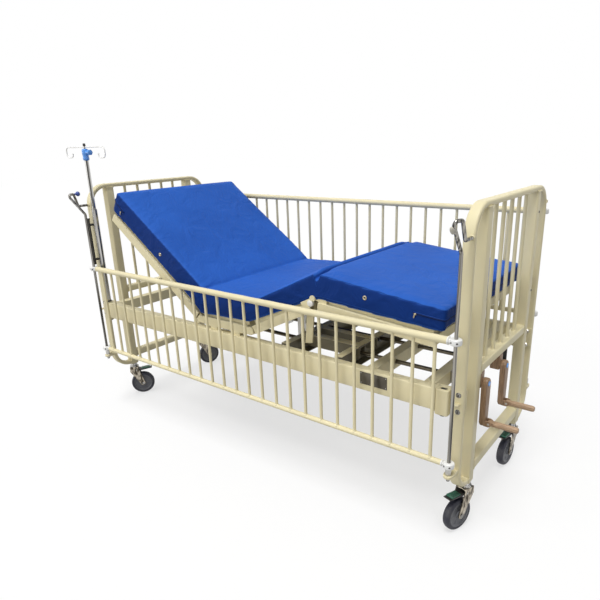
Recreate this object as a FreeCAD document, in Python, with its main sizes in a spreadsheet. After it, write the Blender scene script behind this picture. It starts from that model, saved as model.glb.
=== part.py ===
"""Pediatric hospital cot: two end hoops on casters, drop-side rails, a cranked
four-section mattress platform, and a drip pole.

X runs along the bed (+X is the foot end), Y across it (-Y is the near side) and
+Z is up. The origin is on the floor, midway between the end frames. The
mattress sections are drawn flat and then turned to their rest angles.
"""
import FreeCAD, Part
import Sketcher
import math
import os
import re

Vector = FreeCAD.Vector

SIZES = [
    # end frames
    ("foot_end_x", 968, "centre plane of the foot end frame"),
    ("head_end_x", -1000, "centre plane of the head end frame"),
    ("hoop_half_width", 373, "outer face of a hoop's upright"),
    ("hoop_thick", 19, "hoop tube, measured across the bend"),
    ("hoop_depth", 38, "hoop tube, measured along the bed"),
    ("hoop_top", 1175, "top face of the hoop"),
    ("hoop_corner", 90, "centre-line radius of the upper corners"),
    ("hoop_foot_straight", 0.5, "straight left between a hoop's foot and its bend"),
    ("hoop_foot_level", 200, "centre line of the hoop's turned-in foot"),
    ("tube_wall", 2, "wall of the square and flat tubes"),
    ("leg_side", 40, "square tube of the legs"),
    ("leg_half_span", 254, "centre of a leg from the middle plane"),
    ("leg_bottom", 186, "lower end of the legs"),
    ("upper_bar_level", 617, "centre of the upper crossbar"),
    ("upper_bar_tall", 30, "height of the upper crossbar"),
    ("lower_bar_level", 245, "centre of the lower crossbar"),
    ("lower_bar_tall", 34, "height of the lower crossbar"),
    ("end_bar_radius", 7, "round bars of the end frames"),
    ("end_bar_pitch", 78, "spacing of those bars"),
    # bed frame
    ("side_tube_y", 373, "centre plane of the side tubes"),
    ("side_tube_wide", 38, "width of the side tubes"),
    ("side_tube_tall", 80, "height of the side tubes"),
    ("side_tube_top", 585, "top face of the side tubes"),
    ("socket_head_x", -956, "pole sockets at the head end"),
    ("socket_foot_x", 918, "pole sockets at the foot end"),
    ("socket_long", 46, "length of a pole socket along the bed"),
    ("socket_drop", 12, "how far a socket hangs below the side tube"),
    ("socket_floor", 4, "closed bottom of a socket"),
    ("cross_tube_wide", 40, "width of the cross tubes"),
    ("cross_tube_tall", 50, "height of the cross tubes"),
    ("cross_head_x", -900, "head cross tube"),
    ("cross_mid_x", 637, "middle cross tube"),
    ("cross_foot_x", 860, "foot cross tube"),
    ("bracket_thick", 6, "corner bracket plate"),
    ("bracket_reach", 10, "how far a bracket laps the side tube"),
    ("bolt_radius", 5, "hoop bolts"),
    ("bolt_head_radius", 9, "their heads and nuts"),
    ("bolt_head_tall", 6, "height of heads and nuts"),
    ("bolt_high", 572, "level of the upper bolt"),
    ("bolt_low", 512, "level of the lower bolt"),
    # side rails
    ("rail_y", 418, "plane of the rails and the guide rods"),
    ("rail_bar_radius", 6, "upright rail bars"),
    ("rail_bar_pitch", 75, "their spacing"),
    ("rail_bar_last", 900, "X of the last bar"),
    ("rail_top_radius", 12.5, "top tube of a rail"),
    ("rail_low_radius", 10, "bottom tube of a rail"),
    ("rail_tube_wall", 1.5, "wall of the round tubes"),
    ("rail_top_level", 769, "top tube of a lowered rail"),
    ("rail_low_level", 338, "bottom tube of a lowered rail"),
    ("rail_set", 23, "from a guide rod's axis to the end of the rail tubes"),
    ("far_rail_lift", 293, "height by which the far rail stands raised"),
    ("rod_x", 967, "guide rods from the middle plane"),
    ("rod_radius", 6, "guide rods"),
    ("rod_bottom", 278, "lower end of the rods"),
    ("rod_bend_level", 1040, "where the near rods lean outward"),
    ("rod_bend", 16, "radius where a rod starts to lean"),
    ("rod_crest_bend", 11, "radii of the handle bend"),
    ("rod_foot_bend", 11, "radius where a rod turns to its hoop"),
    ("rod_rise", 99, "from there up to the top of the handle bend"),
    ("rod_far_level", 1106, "where the far rods turn in to their hoops"),
    ("rod_aside", 13, "how far along the bed a rod returns beside itself"),
    ("rod_clear", 10, "from the rod's plane out to its return leg"),
    ("rod_lean", 74, "how far the handle bend stands out"),
    ("rod_return", 38, "width of the handle bend"),
    ("knob_neck", 4, "radius of a rod knob's neck"),
    ("knob_stem", 6, "length of that neck above the bar"),
    ("knob_ball", 12, "radius of a rod knob"),
    ("knob_drop", 24, "near foot knob below the crest"),
    ("rod_end_drop", 60, "from the handle bend's top down to its return to the hoop"),
    ("rod_end_disc", 8, "thickness of the fixing boss on the hoop"),
    ("rod_end_radius", 7, "radius of that boss"),
    ("bush_radius", 19, "sliding bush of a rail"),
    ("bush_tall", 20, "its height"),
    ("bush_neck", 20, "length of the neck inside a rail tube"),
    ("running_gap", 0.05, "radial clearance of a running fit"),
    ("safe_gap", 0.3, "gap between pieces that pass each other"),
    ("tab_level", 291, "underside of the rod tab"),
    ("tab_thick", 10, "thickness of the rod tab"),
    ("tab_radius", 16, "rounded end of the rod tab"),
    ("nut_radius", 10, "nuts on the rods"),
    ("nut_tall", 8, "their height"),
    ("catch_level", 540, "rail catch on the hoop"),
    ("catch_wide", 16, "its width"),
    ("catch_thick", 5, "its thickness"),
    ("catch_gap", 3, "from the catch to the passing bush"),
    ("stay_radius", 9, "stay tube beside the near head rod"),
    ("stay_low", 784, "its lower end"),
    ("stay_high", 1008, "its upper end"),
    ("stay_cap_lap", 2, "how far its cap stands out"),
    ("stay_clip_wide", 16, "width of the clips that hold it"),
    ("stay_clip_low", 20, "lower clip above the tube's end"),
    ("stay_clip_high", 30, "upper clip below the tube's end"),
    ("stay_offset_x", 22, "from the rod towards the head"),
    ("stay_offset_y", 21, "from the rod towards the bed"),
    # platform sections
    ("pivot_level", 617, "back and thigh hinges, centre of the section tubes"),
    ("back_pivot_x", -240, "hinge between back and seat"),
    ("thigh_pivot_x", 66, "hinge between seat and thigh"),
    ("thigh_length", 376, "thigh hinge to knee hinge"),
    ("knee_rise", 28, "knee hinge above the tube centres"),
    ("back_length", 695, "back hinge to the head end of its frame"),
    ("calf_length", 489, "knee hinge to the foot end of its frame"),
    ("back_angle", 36.5, "back section at rest"),
    ("thigh_angle", 26, "thigh section at rest"),
    ("calf_droop", 5, "slope of the calf section at rest"),
    ("section_half", 378, "outer face of the section tubes"),
    ("section_wide", 26, "width of the section tubes"),
    ("section_tall", 36, "height of the section tubes"),
    ("hinge_radius", 6, "section hinge pins"),
    ("hinge_eye", 16, "radius of the hinge eyes"),
    ("hinge_reach", 22, "from a hinge to the end of the tube"),
    ("tongue_thick", 8, "middle leaf of a hinge"),
    ("knee_reach", 26, "from the knee hinge to the tube ends"),
    ("knee_eye", 12, "radius of the knee eyes"),
    ("knee_leaf", 8, "thickness of a knee leaf"),
    ("knee_foot", 34, "length of a knee leaf on its tube"),
    ("knee_arm_rise", 4, "arm of a knee leaf above its pin"),
    ("knee_relief", 2, "space under a knee leaf beyond its tube"),
    ("panel_depth", 24, "depth of the pressed platform panels"),
    ("panel_sheet", 2, "their sheet thickness"),
    ("panel_half", 360, "half width of the panels"),
    ("panel_setback", 36, "from the back hinge to the back panel"),
    ("seat_panel_head", 30, "from the back hinge to the seat panel"),
    ("seat_panel_foot", 20, "from the seat panel to the thigh hinge"),
    ("thigh_panel_head", 28, "from the thigh hinge to the thigh panel"),
    ("knee_panel_gap", 14, "from the knee hinge to the panels beside it"),
    ("end_panel_inset", 12, "end panels inside their frames"),
    ("seat_cross_first", 60, "first seat cross tube from the back hinge"),
    ("back_hanger_set", 103, "back shaft's hanger from the back hinge"),
    ("knee_hanger_set", 79, "knee shaft's hanger from the thigh hinge"),
    ("spacer_set", 85, "seat spacers from the hinges"),
    ("spacer_long", 40, "seat frame spacers on the side tubes"),
    ("mattress_thick", 88, "thickness of the mattress"),
    ("mattress_half", 384, "half width of the mattress"),
    ("mattress_corner", 38, "plan radius of the mattress corners"),
    ("mattress_head_lap", 11, "mattress beyond the back frame"),
    ("mattress_foot_lap", 8, "mattress beyond the calf frame"),
    ("mattress_overlap", 0.4, "gap left where two mattress sections meet"),
    ("back_mitre", 36.8, "slope of the mattress ends at the back crease"),
    ("thigh_mitre", 20, "slope of the mattress ends at the thigh crease"),
    # lifting gear
    ("screw_level", 562, "crank shafts"),
    ("back_screw_y", -215, "shaft that lifts the back"),
    ("knee_screw_y", -30, "shaft that lifts the knees"),
    ("screw_radius", 8, "crank shafts"),
    ("shaft_gap", 1.5, "clearance of a shaft in a cross tube"),
    ("screw_overrun", 88, "shaft beyond the lever pin"),
    ("lever_radius", 100, "hinge to the lever's roller"),
    ("lever_width", 24, "width of the lever plates"),
    ("lever_saddle", 22, "lever plate to each side of the torque tube's centre"),
    ("lever_plate", 6, "thickness of the lever plates"),
    ("lever_gap", 32, "clear space between a pair of plates"),
    ("roller_radius", 8, "roller of a lever"),
    ("roller_play", 2.5, "play of the roller in the nut's fork"),
    ("torque_radius", 15, "torque tube of a section"),
    ("torque_set", 35, "from the hinge to the torque tube"),
    ("nut_wide", 28, "lift nut, across the bed"),
    ("nut_long", 42, "lift nut, along the shaft"),
    ("nut_half_tall", 15, "lift nut, above and below the shaft"),
    ("fork_drop", 64, "fork of the nut, below the shaft"),
    ("hanger_thick", 8, "bearing plates under the seat"),
    ("hanger_half", 20, "half width of a bearing plate"),
    ("hanger_drop", 22, "bearing plate below the shaft"),
    ("housing_long", 36, "crank bearing housing under the crossbar"),
    ("housing_half", 18, "half width of the housing"),
    ("crank_x", 991, "inner face of the crank arms"),
    ("crank_thick", 20, "thickness of a crank arm"),
    ("crank_reach", 146, "shaft to handle"),
    ("crank_hub", 20, "radius of the crank hub"),
    ("crank_half", 15, "half width of the crank arm"),
    ("crank_seat", 14, "depth of the shaft in the hub"),
    ("cap_radius", 9, "blue cap on the hub"),
    ("cap_tall", 3, "its height"),
    ("grip_radius", 11, "handle of a crank"),
    ("grip_long", 97.5, "handle beyond its pin"),
    ("grip_tongue", 17, "width of the handle's tongue"),
    ("grip_cheek", 5, "cheeks that hold the tongue"),
    ("grip_pin", 4, "radius of the folding pin"),
    ("grip_nose", 8, "half height of the tongue"),
    ("grip_set", 1, "from the arm to the cheeks' round ends"),
    ("grip_step", 2, "from the tongue to the handle"),
    # drip pole
    ("pole_radius", 12.5, "lower tube of the drip pole"),
    ("pole_inner", 9, "upper tube of the drip pole"),
    ("pole_wall", 1.5, "wall of both"),
    ("pole_step", 1062, "top of the lower tube"),
    ("pole_upper_start", 960, "bottom of the upper tube"),
    ("clamp_low", 1292, "underside of the clamp"),
    ("clamp_high", 1345, "top of the clamp"),
    ("clamp_radius", 15, "clamp body"),
    ("clamp_boss", 26, "boss that takes the knob's screw"),
    ("clamp_boss_radius", 8, "its radius"),
    ("clamp_lap", 22, "upper tube inside the clamp"),
    ("knob_level", 1328, "axis of the clamp knob"),
    ("knob_radius", 14, "clamp knob"),
    ("knob_long", 20, "its length"),
    ("knob_screw", 4, "radius of its screw"),
    ("hook_rod_radius", 5, "rod that carries the hooks"),
    ("hook_rod_low", 830, "its lower end"),
    ("hook_rod_high", 1369, "its upper end"),
    ("hook_level", 1352, "arms of the hooks"),
    ("hook_wire", 2.5, "radius of the hook wire"),
    ("hook_reach", 116, "straight part of a hook arm"),
    ("hook_loop", 24, "radius of the hook's loop"),
    ("hook_tail_set", 6, "tip of a hook short of its arm"),
    # casters
    ("wheel_radius", 62.5, "caster wheel"),
    ("wheel_wide", 30, "its width"),
    ("tread_depth", 14, "radial depth of the tread"),
    ("caster_trail", 38, "stem to axle, along the floor"),
    ("axle_radius", 5, "caster axle"),
    ("fork_wide", 46, "width over the fork"),
    ("fork_slot", 36, "space between its cheeks"),
    ("fork_top", 165, "top of the fork"),
    ("fork_crown", 131, "underside of the crown"),
    ("stem_radius", 10, "stem of a caster"),
    ("stem_top", 222, "top of the stem"),
    ("collar_radius", 18, "collar between leg and fork"),
    ("collar_low", 166, "underside of the collar"),
    ("pedal_pin_x", 12, "pedal pin from the stem"),
    ("pedal_pin_level", 147, "height of the pedal pin"),
    ("pedal_long", 84, "pin to the end of the pedal"),
    ("pedal_wide", 34, "width of the pedal"),
    ("pedal_thick", 6, "thickness of the pedal"),
    ("swivel_near_foot", -108, "heading of that wheel"),
    ("swivel_near_head", 52, "heading of that wheel"),
    ("swivel_far_foot", -96, "heading of that wheel"),
    ("swivel_far_head", 66, "heading of that wheel"),
]

RAIL_BARS = 25
END_BARS = 5

doc = FreeCAD.newDocument("PediatricCot")
sheet = doc.addObject("Spreadsheet::Sheet", "Sizes")
for row, (alias, value, note) in enumerate(SIZES, start=1):
    sheet.set(f"A{row}", alias)
    sheet.set(f"B{row}", str(value))
    sheet.set(f"C{row}", note)
    sheet.setAlias(f"B{row}", alias)
doc.recompute()

ALIAS = re.compile(r"\b([a-z]+(?:_[a-z]+)+)\b")
TURNS = {"x": (Vector(0, 1, 0), 90), "y": (Vector(1, 0, 0), -90), "-y": (Vector(1, 0, 0), 90),
         "z": (Vector(0, 0, 1), 0)}
nodes = []


def size(alias):
    """Return one driving dimension as a number."""
    return float(sheet.get(alias))


def bind(item, prop, text):
    """Bind a property to an expression written in sheet aliases."""
    item.setExpression(prop, ALIAS.sub(r"Sizes.\1", str(text)))


def place(item, base):
    """Bind the three coordinates of an object's base point."""
    for axis, text in zip("xyz", base):
        bind(item, "Placement.Base." + axis, text)
    return item


def box(name, low, extent):
    """A box from its low corner and its three extents."""
    item = doc.addObject("Part::Box", name)
    for prop, text in zip(("Length", "Width", "Height"), extent):
        bind(item, prop, text)
    return place(item, low)


def block(name, middle, extent):
    """A box around its middle point."""
    low = [f"({centre}) - ({long}) / 2" for centre, long in zip(middle, extent)]
    return box(name, low, extent)


def rod(name, radius, base, long, axis="z"):
    """A cylinder that starts at base and runs along +axis."""
    item = doc.addObject("Part::Cylinder", name)
    bind(item, "Radius", radius)
    bind(item, "Height", long)
    item.Placement = FreeCAD.Placement(Vector(), FreeCAD.Rotation(*TURNS[axis]))
    return place(item, base)


def cut(name, base, tool):
    """Base less tool."""
    item = doc.addObject("Part::Cut", name)
    item.Base = base
    item.Tool = tool
    return item


def fuse(name, parts):
    """One solid from parts that meet."""
    item = doc.addObject("Part::MultiFuse", name)
    item.Shapes = parts
    item.Refine = True
    return item


def group(name, parts):
    """Separate solids kept together."""
    item = doc.addObject("Part::Compound", name)
    item.Links = parts
    return item


def pipe(name, radius, wall, base, long, axis="z"):
    """A round tube."""
    outer = rod(name + "Outer", radius, base, long, axis)
    inner = rod(name + "Inner", f"({radius}) - ({wall})", base, long, axis)
    return cut(name, outer, inner)


def channel(name, middle, extent, axis):
    """A rectangular tube, open at both ends along the axis (0, 1 or 2)."""
    bore = [text if i == axis else f"({text}) - 2 * tube_wall" for i, text in enumerate(extent)]
    return cut(name, block(name + "Outer", middle, extent), block(name + "Bore", middle, bore))


def shaped(name, shape):
    """An object whose shape is made with Part's own functions."""
    item = doc.addObject("Part::Feature", name)
    item.Shape = shape
    return item


def node(label, parts):
    """Register a sub-part under the name of its file."""
    item = group("Node" + label.title().replace("_", ""), parts)
    item.Label = label
    nodes.append(item)
    return item


def turn(item, flat, rest, angle):
    """Turn an item about a cross-bed axis, from its flat hinge point to its rest one."""
    item.Placement = FreeCAD.Placement(Vector(), FreeCAD.Rotation(Vector(0, 1, 0), 1))
    bind(item, "Placement.Rotation.Angle", angle)
    (flat_x, flat_z), (rest_x, rest_z) = flat, rest
    place(item, (
        f"{rest_x} - ({flat_x}) * cos({angle}) - ({flat_z}) * sin({angle})",
        "0",
        f"{rest_z} + ({flat_x}) * sin({angle}) - ({flat_z}) * cos({angle})"))
    return item


def bent_wire(points, radii):
    """A wire through points, with a tangent arc of the given radius at each inner point."""
    points = [Vector(*point) for point in points]
    edges, start = [], points[0]
    for before, corner, after, radius in zip(points, points[1:], points[2:], radii):
        inward, outward = (before - corner).normalize(), (after - corner).normalize()
        half = inward.getAngle(outward) / 2
        reach = radius / math.tan(half)
        first, last = corner + inward * reach, corner + outward * reach
        middle = (inward + outward).normalize()
        crown = corner + middle * (radius / math.sin(half) - radius)
        edges += [Part.LineSegment(start, first).toShape(), Part.Arc(first, crown, last).toShape()]
        start = last
    edges.append(Part.LineSegment(start, points[-1]).toShape())
    return Part.Wire(edges)


def round_sweep(points, radii, radius):
    """A solid round bar bent along the points."""
    path = bent_wire(points, radii)
    start = Vector(*points[0])
    along = Vector(*points[1]) - start
    ring = Part.Wire([Part.Circle(start, along, radius).toShape()])
    return path.makePipeShell([ring], True, True)


def sketch(body, plane, name, loops):
    """A sketch of closed polygons; every corner is dimensioned from the origin."""
    item = body.newObject("Sketcher::SketchObject", name)
    item.AttachmentSupport = [(f, "") for f in body.Origin.OriginFeatures if f.Role == plane]
    item.MapMode = "FlatFace"
    for corners in loops:
        first = item.GeometryCount
        count = len(corners)
        for i in range(count):
            here, there = seed_point(i, count), seed_point(i + 1, count)
            item.addGeometry(Part.LineSegment(here, there), False)
        for i, (across, up) in enumerate(corners):
            line = first + i
            item.addConstraint(Sketcher.Constraint("Coincident", line, 1, first + (i - 1) % count, 2))
            for kind, text in (("DistanceX", across), ("DistanceY", up)):
                index = item.addConstraint(Sketcher.Constraint(kind, -1, 1, line, 1, 1.0))
                bind(item, f"Constraints[{index}]", text)
    return item


SEED_RADIUS = 100


def seed_point(i, count):
    """A corner of a regular polygon, where a sketch starts before it is solved."""
    angle = 2 * math.pi * i / count
    return Vector(SEED_RADIUS * math.cos(angle), SEED_RADIUS * math.sin(angle), 0)


def pad(name, plane, loops, thick, base=("0", "0", "0")):
    """A plate padded equally to both sides of its sketch plane; returns its body."""
    body = doc.addObject("PartDesign::Body", name)
    outline = sketch(body, plane, name + "Outline", loops)
    feature = body.newObject("PartDesign::Pad", name + "Pad")
    feature.Profile = outline
    feature.SideType = "Symmetric"
    bind(feature, "Length", thick)
    body.Tip = feature
    return place(body, base)


def revolve(name, corners, base, turned=None):
    """A solid of revolution about its own Z axis from a half outline in X and Z."""
    body = doc.addObject("PartDesign::Body", name)
    outline = sketch(body, "XZ_Plane", name + "Outline", [corners])
    feature = body.newObject("PartDesign::Revolution", name + "Turned")
    feature.Profile = outline
    feature.ReferenceAxis = (outline, ["V_Axis"])
    feature.Angle = 360
    body.Tip = feature
    if turned:
        body.Placement = FreeCAD.Placement(Vector(), FreeCAD.Rotation(*TURNS[turned]))
    return place(body, base)


# ---------------------------------------------------------------- end frames

def hoop_solid(x):
    """The bent hoop tube of one end frame, hollow, with turned-in feet."""
    thick, deep, wall = size("hoop_thick"), size("hoop_depth"), size("tube_wall")
    half = size("hoop_half_width") - thick / 2
    top = size("hoop_top") - thick / 2
    foot = size("hoop_foot_level")
    inner_end = size("leg_half_span") + size("leg_side") / 2
    tuck = half - inner_end - size("hoop_foot_straight")
    corner = size("hoop_corner")
    points = [(x, -inner_end, foot), (x, -half, foot), (x, -half, top),
              (x, half, top), (x, half, foot), (x, inner_end, foot)]
    path = bent_wire(points, [tuck, corner, corner, tuck])

    def profile(across, along):
        corners = [Vector(x + i * along / 2, -inner_end, foot + j * across / 2)
                   for i, j in ((-1, -1), (1, -1), (1, 1), (-1, 1), (-1, -1))]
        return Part.makePolygon(corners)
    outer = path.makePipeShell([profile(thick, deep)], True, True)
    bore = path.makePipeShell([profile(thick - 2 * wall, deep - 2 * wall)], True, True)
    return outer.cut(bore)


ENDS = (("head", "head_end_x"), ("foot", "foot_end_x"))
SIDES = (("Near", "-1"), ("Far", "1"))


BOLT_OUTER = "hoop_half_width + bolt_head_tall"
BOLT_INNER = "side_tube_y - side_tube_wide / 2 - bracket_thick - bolt_head_tall"


def bolt_shank(name, x, sign, level):
    """The shank of a bolt through hoop and bracket, which is also their hole."""
    start = BOLT_INNER if sign == "1" else f"-({BOLT_OUTER})"
    return rod(name + "Shank", "bolt_radius", (x, start, level), f"{BOLT_OUTER} - ({BOLT_INNER})", "y")


def bolt(name, x, sign, level):
    """A bolt through hoop and bracket, with its head outside and its nut inside."""
    shank = bolt_shank(name, x, sign, level)
    outer_base = "hoop_half_width" if sign == "1" else f"-({BOLT_OUTER})"
    inner_base = BOLT_INNER if sign == "1" else f"-({BOLT_INNER} + bolt_head_tall)"
    head = rod(name + "Head", "bolt_head_radius", (x, outer_base, level), "bolt_head_tall", "y")
    nut = rod(name + "Nut", "bolt_head_radius", (x, inner_base, level), "bolt_head_tall", "y")
    return fuse(name, [shank, head, nut])


def make_ends():
    """Hoops, legs, crossbars, bars, corner brackets and bolts of both end frames."""
    legs, crossbars, bars, brackets, bolts = [], [], [], [], []
    leg_top = "hoop_top - hoop_thick"
    bar_low = "upper_bar_level + upper_bar_tall / 2"
    leg_inner = "2 * leg_half_span - leg_side"
    for end, x in ENDS:
        name = end.title()
        holes = []
        for side, sign in SIDES:
            for level in ("bolt_high", "bolt_low"):
                tag = name + side + level[-3:].title()
                holes.append(bolt_shank(tag + "Hole", x, sign, level))
                bolts.append(bolt(tag + "Bolt", x, sign, level))
            legs.append(channel(name + side + "Leg",
                                (x, f"{sign} * leg_half_span", f"(leg_bottom + {leg_top}) / 2"),
                                ("leg_side", "leg_side", f"{leg_top} - leg_bottom"), 2))
            inner = "(side_tube_y - side_tube_wide / 2 - bracket_thick / 2)"
            if end == "head":
                low, high = f"{x} - hoop_depth / 2", "socket_head_x + socket_long / 2 + bracket_reach"
            else:
                low, high = "socket_foot_x - socket_long / 2 - bracket_reach", f"{x} + hoop_depth / 2"
            plate = block(name + side + "Plate",
                          (f"({low} + {high}) / 2", f"{sign} * {inner}",
                           "side_tube_top - side_tube_tall / 2"),
                          (f"{high} - ({low})", "bracket_thick", "side_tube_tall"))
            brackets.append(cut(name + side + "Bracket", plate, group(name + side + "Holes", holes[-2:])))
        hoop = cut(name + "HoopDrilled", shaped(name + "HoopTube", hoop_solid(size(x))),
                   group(name + "HoopHoles", holes))
        node(end + "_hoop", [hoop])
        for tag in ("upper", "lower"):
            crossbars.append(channel(name + tag.title() + "Bar", (x, "0", f"{tag}_bar_level"),
                                     ("leg_side", leg_inner, f"{tag}_bar_tall"), 1))
        for i in range(END_BARS):
            offset = f"{i - (END_BARS - 1) / 2} * end_bar_pitch"
            bars.append(pipe(f"{name}Bar{i}", "end_bar_radius", "rail_tube_wall",
                             (x, offset, bar_low), f"{leg_top} - ({bar_low})"))
    node("end_legs", legs)
    node("end_crossbars", crossbars)
    node("end_bars", bars)
    node("corner_brackets", brackets)
    node("hoop_bolts", bolts)


# ---------------------------------------------------------------- bed frame

def make_bed_frame():
    """Side tubes with pole sockets, and the cross tubes between them."""
    sides, crosses = [], []
    socket_tall = "side_tube_tall + socket_drop"
    socket_bottom = "side_tube_top - side_tube_tall - socket_drop"
    run_low, run_high = "socket_head_x + socket_long / 2", "socket_foot_x - socket_long / 2"
    for side, sign in SIDES:
        y = f"{sign} * side_tube_y"
        sides.append(channel(side + "SideTube",
                             (f"({run_low} + {run_high}) / 2", y, "side_tube_top - side_tube_tall / 2"),
                             (f"{run_high} - ({run_low})", "side_tube_wide", "side_tube_tall"), 0))
        for end in ("head", "foot"):
            name = side + end.title() + "Socket"
            x = f"socket_{end}_x"
            body = block(name + "Block", (x, y, f"{socket_bottom} + ({socket_tall}) / 2"),
                         ("socket_long", "side_tube_wide", socket_tall))
            bore = rod(name + "Bore", "pole_radius + running_gap",
                       (x, y, f"{socket_bottom} + socket_floor"), socket_tall)
            sides.append(cut(name, body, bore))
    for tag in ("head", "mid", "foot"):
        x = f"cross_{tag}_x"
        middle = (x, "0", "side_tube_top - cross_tube_tall / 2")
        tube = channel(f"Cross{tag.title()}", middle,
                       ("cross_tube_wide", "2 * side_tube_y - side_tube_wide", "cross_tube_tall"), 1)
        if tag != "head":
            holes = [rod(f"Cross{tag.title()}{screw.title()}Hole", "screw_radius + shaft_gap",
                         (f"{x} - cross_tube_wide", f"{screw}_screw_y", "screw_level"),
                         "2 * cross_tube_wide", "x") for screw in ("back", "knee")]
            tube = cut(f"Cross{tag.title()}Drilled", tube, group(f"Cross{tag.title()}Holes", holes))
        crosses.append(tube)
    node("side_tubes", sides)
    node("cross_tubes", crosses)


# ---------------------------------------------------------------- side rails

def make_rail(side, sign, lift):
    """One drop-side rail: two tubes, the upright bars and four sliding bushes."""
    y = f"{sign} * rail_y"
    top, low = f"rail_top_level + {lift}", f"rail_low_level + {lift}"
    half = "(rod_x - rail_set)"
    long = f"2 * {half}"
    name = side.title() + "Rail"
    tubes = [pipe(name + "Top", "rail_top_radius", "rail_tube_wall", (f"-{half}", y, top), long, "x"),
             pipe(name + "Low", "rail_low_radius", "rail_tube_wall", (f"-{half}", y, low), long, "x")]
    solid_tubes = group(name + "Cores", [
        rod(name + "TopCore", "rail_top_radius", (f"-{half}", y, top), long, "x"),
        rod(name + "LowCore", "rail_low_radius", (f"-{half}", y, low), long, "x")])
    bars = [pipe(f"{name}Bar{i}", "rail_bar_radius", "rail_tube_wall",
                 (f"rail_bar_last - {i} * rail_bar_pitch", y, low), f"{top} - ({low})")
            for i in range(RAIL_BARS)]
    bushes = []
    for way in ("-1", "1"):
        for level, tube in ((top, "rail_top_radius"), (low, "rail_low_radius")):
            tag = f"{name}Bush{len(bushes)}"
            ring = rod(tag + "Ring", "bush_radius", (f"{way} * rod_x", y, f"{level} - bush_tall / 2"),
                       "bush_tall")
            start = f"{half} - bush_neck" if way == "1" else "-rod_x"
            stub = rod(tag + "Neck", f"{tube} - rail_tube_wall", (start, y, level),
                       "rail_set + bush_neck", "x")
            bore = rod(tag + "Bore", "rod_radius + running_gap",
                       (f"{way} * rod_x", y, f"{level} - bush_tall"), "2 * bush_tall")
            bushes.append(cut(tag, fuse(tag + "Body", [ring, stub]), bore))
    node(f"{side}_rail_tubes", tubes)
    node(f"{side}_rail_bars", [cut(name + "Bars", group(name + "BarGroup", bars), solid_tubes)])
    node(f"{side}_rail_bushes", bushes)


ROD_CREST = "rod_bend_level + rod_rise"


def rod_solid(x, end_x, way):
    """A guide rod: upright, then over a handle bend (near side) or straight in to its hoop."""
    y, bottom = size("rail_y"), size("rod_bottom")
    face = size("hoop_half_width") + size("rod_end_disc") / 2
    if way > 0:
        finish = size("rod_far_level")
        points = [(x, y, bottom), (x, y, finish), (end_x, face, finish)]
        bends = [size("rod_bend")]
    else:
        out = y + size("rod_lean")
        beside = x + math.copysign(size("rod_aside"), x)
        crest = size("rod_bend_level") + size("rod_rise")
        finish = crest - size("rod_end_drop")
        points = [(x, y, bottom), (x, y, size("rod_bend_level")), (x, out, crest),
                  (beside, out - size("rod_return"), crest),
                  (end_x, y + size("rod_clear"), finish), (end_x, face, finish)]
        bends = [size("rod_bend"), size("rod_crest_bend"), size("rod_crest_bend"), size("rod_foot_bend")]
    return round_sweep([(px, way * py, pz) for px, py, pz in points], bends, size("rod_radius"))


def make_guides():
    """Guide rods, their tabs, nuts, stops, catches, knobs and the stay tube."""
    rods, fittings, knobs = [], [], []
    for end, end_x in ENDS:
        x_sign = "-1" if end == "head" else "1"
        for side, sign in SIDES:
            name = end.title() + side
            x, y = f"{x_sign} * rod_x", f"{sign} * rail_y"
            end_point = end_x if end == "head" else "rod_x + rod_aside"
            end_number = size(end_x) if end == "head" else size("rod_x") + size("rod_aside")
            bar = shaped(name + "Bar", rod_solid(float(x_sign) * size("rod_x"), end_number, int(sign)))
            end_level = f"{ROD_CREST} - rod_end_drop" if side == "Near" else "rod_far_level"
            face = f"{sign} * hoop_half_width"
            reach = "rail_y - hoop_half_width"
            low_y = face if sign == "1" else "-rail_y"
            edges = (f"min({x}; {end_x}) - tab_radius", f"max({x}; {end_x}) + tab_radius")
            plate = box(name + "TabPlate", (edges[0], low_y, "tab_level"),
                        (f"{edges[1]} - ({edges[0]})", reach, "tab_thick"))
            nose = rod(name + "TabNose", "tab_radius", (x, y, "tab_level"), "tab_thick")
            hole = rod(name + "TabHole", "rod_radius", (x, y, "tab_level"), "tab_thick")
            fittings.append(cut(name + "Tab", fuse(name + "TabBody", [plate, nose]), hole))
            stop_top = "rail_low_level - bush_tall / 2 - safe_gap"
            for tag, low, tall in (("NutUnder", "tab_level - nut_tall", "nut_tall"),
                                   ("NutOver", "tab_level + tab_thick", "nut_tall"),
                                   ("Stop", "tab_level + tab_thick + nut_tall",
                                    f"{stop_top} - (tab_level + tab_thick + nut_tall)")):
                outer = rod(name + tag + "Outer", "nut_radius", (x, y, low), tall)
                inner = rod(name + tag + "Inner", "rod_radius", (x, y, low), tall)
                fittings.append(cut(name + tag, outer, inner))
            disc_y = face if sign == "1" else "-(hoop_half_width + rod_end_disc)"
            boss = rod(name + "Boss", "rod_end_radius", (end_point, disc_y, end_level),
                       "rod_end_disc", "y")
            fittings.append(boss)
            rods.append(cut(name + "Rod", bar, boss))
            catch_end = "rail_y - bush_radius - catch_gap"
            catch_y = face if sign == "1" else f"-({catch_end})"
            fittings.append(box(name + "Catch", (f"{end_x} - catch_wide / 2", catch_y, "catch_level"),
                                ("catch_wide", f"{catch_end} - hoop_half_width", "catch_thick")))
            if side == "Near":
                knobs.append(cut(name + "Knob", knob_on_rod(name, x_sign), bar))
    node("guide_rods", rods)
    node("rod_fittings", fittings)
    node("rod_knobs", knobs)
    make_stay()


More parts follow.
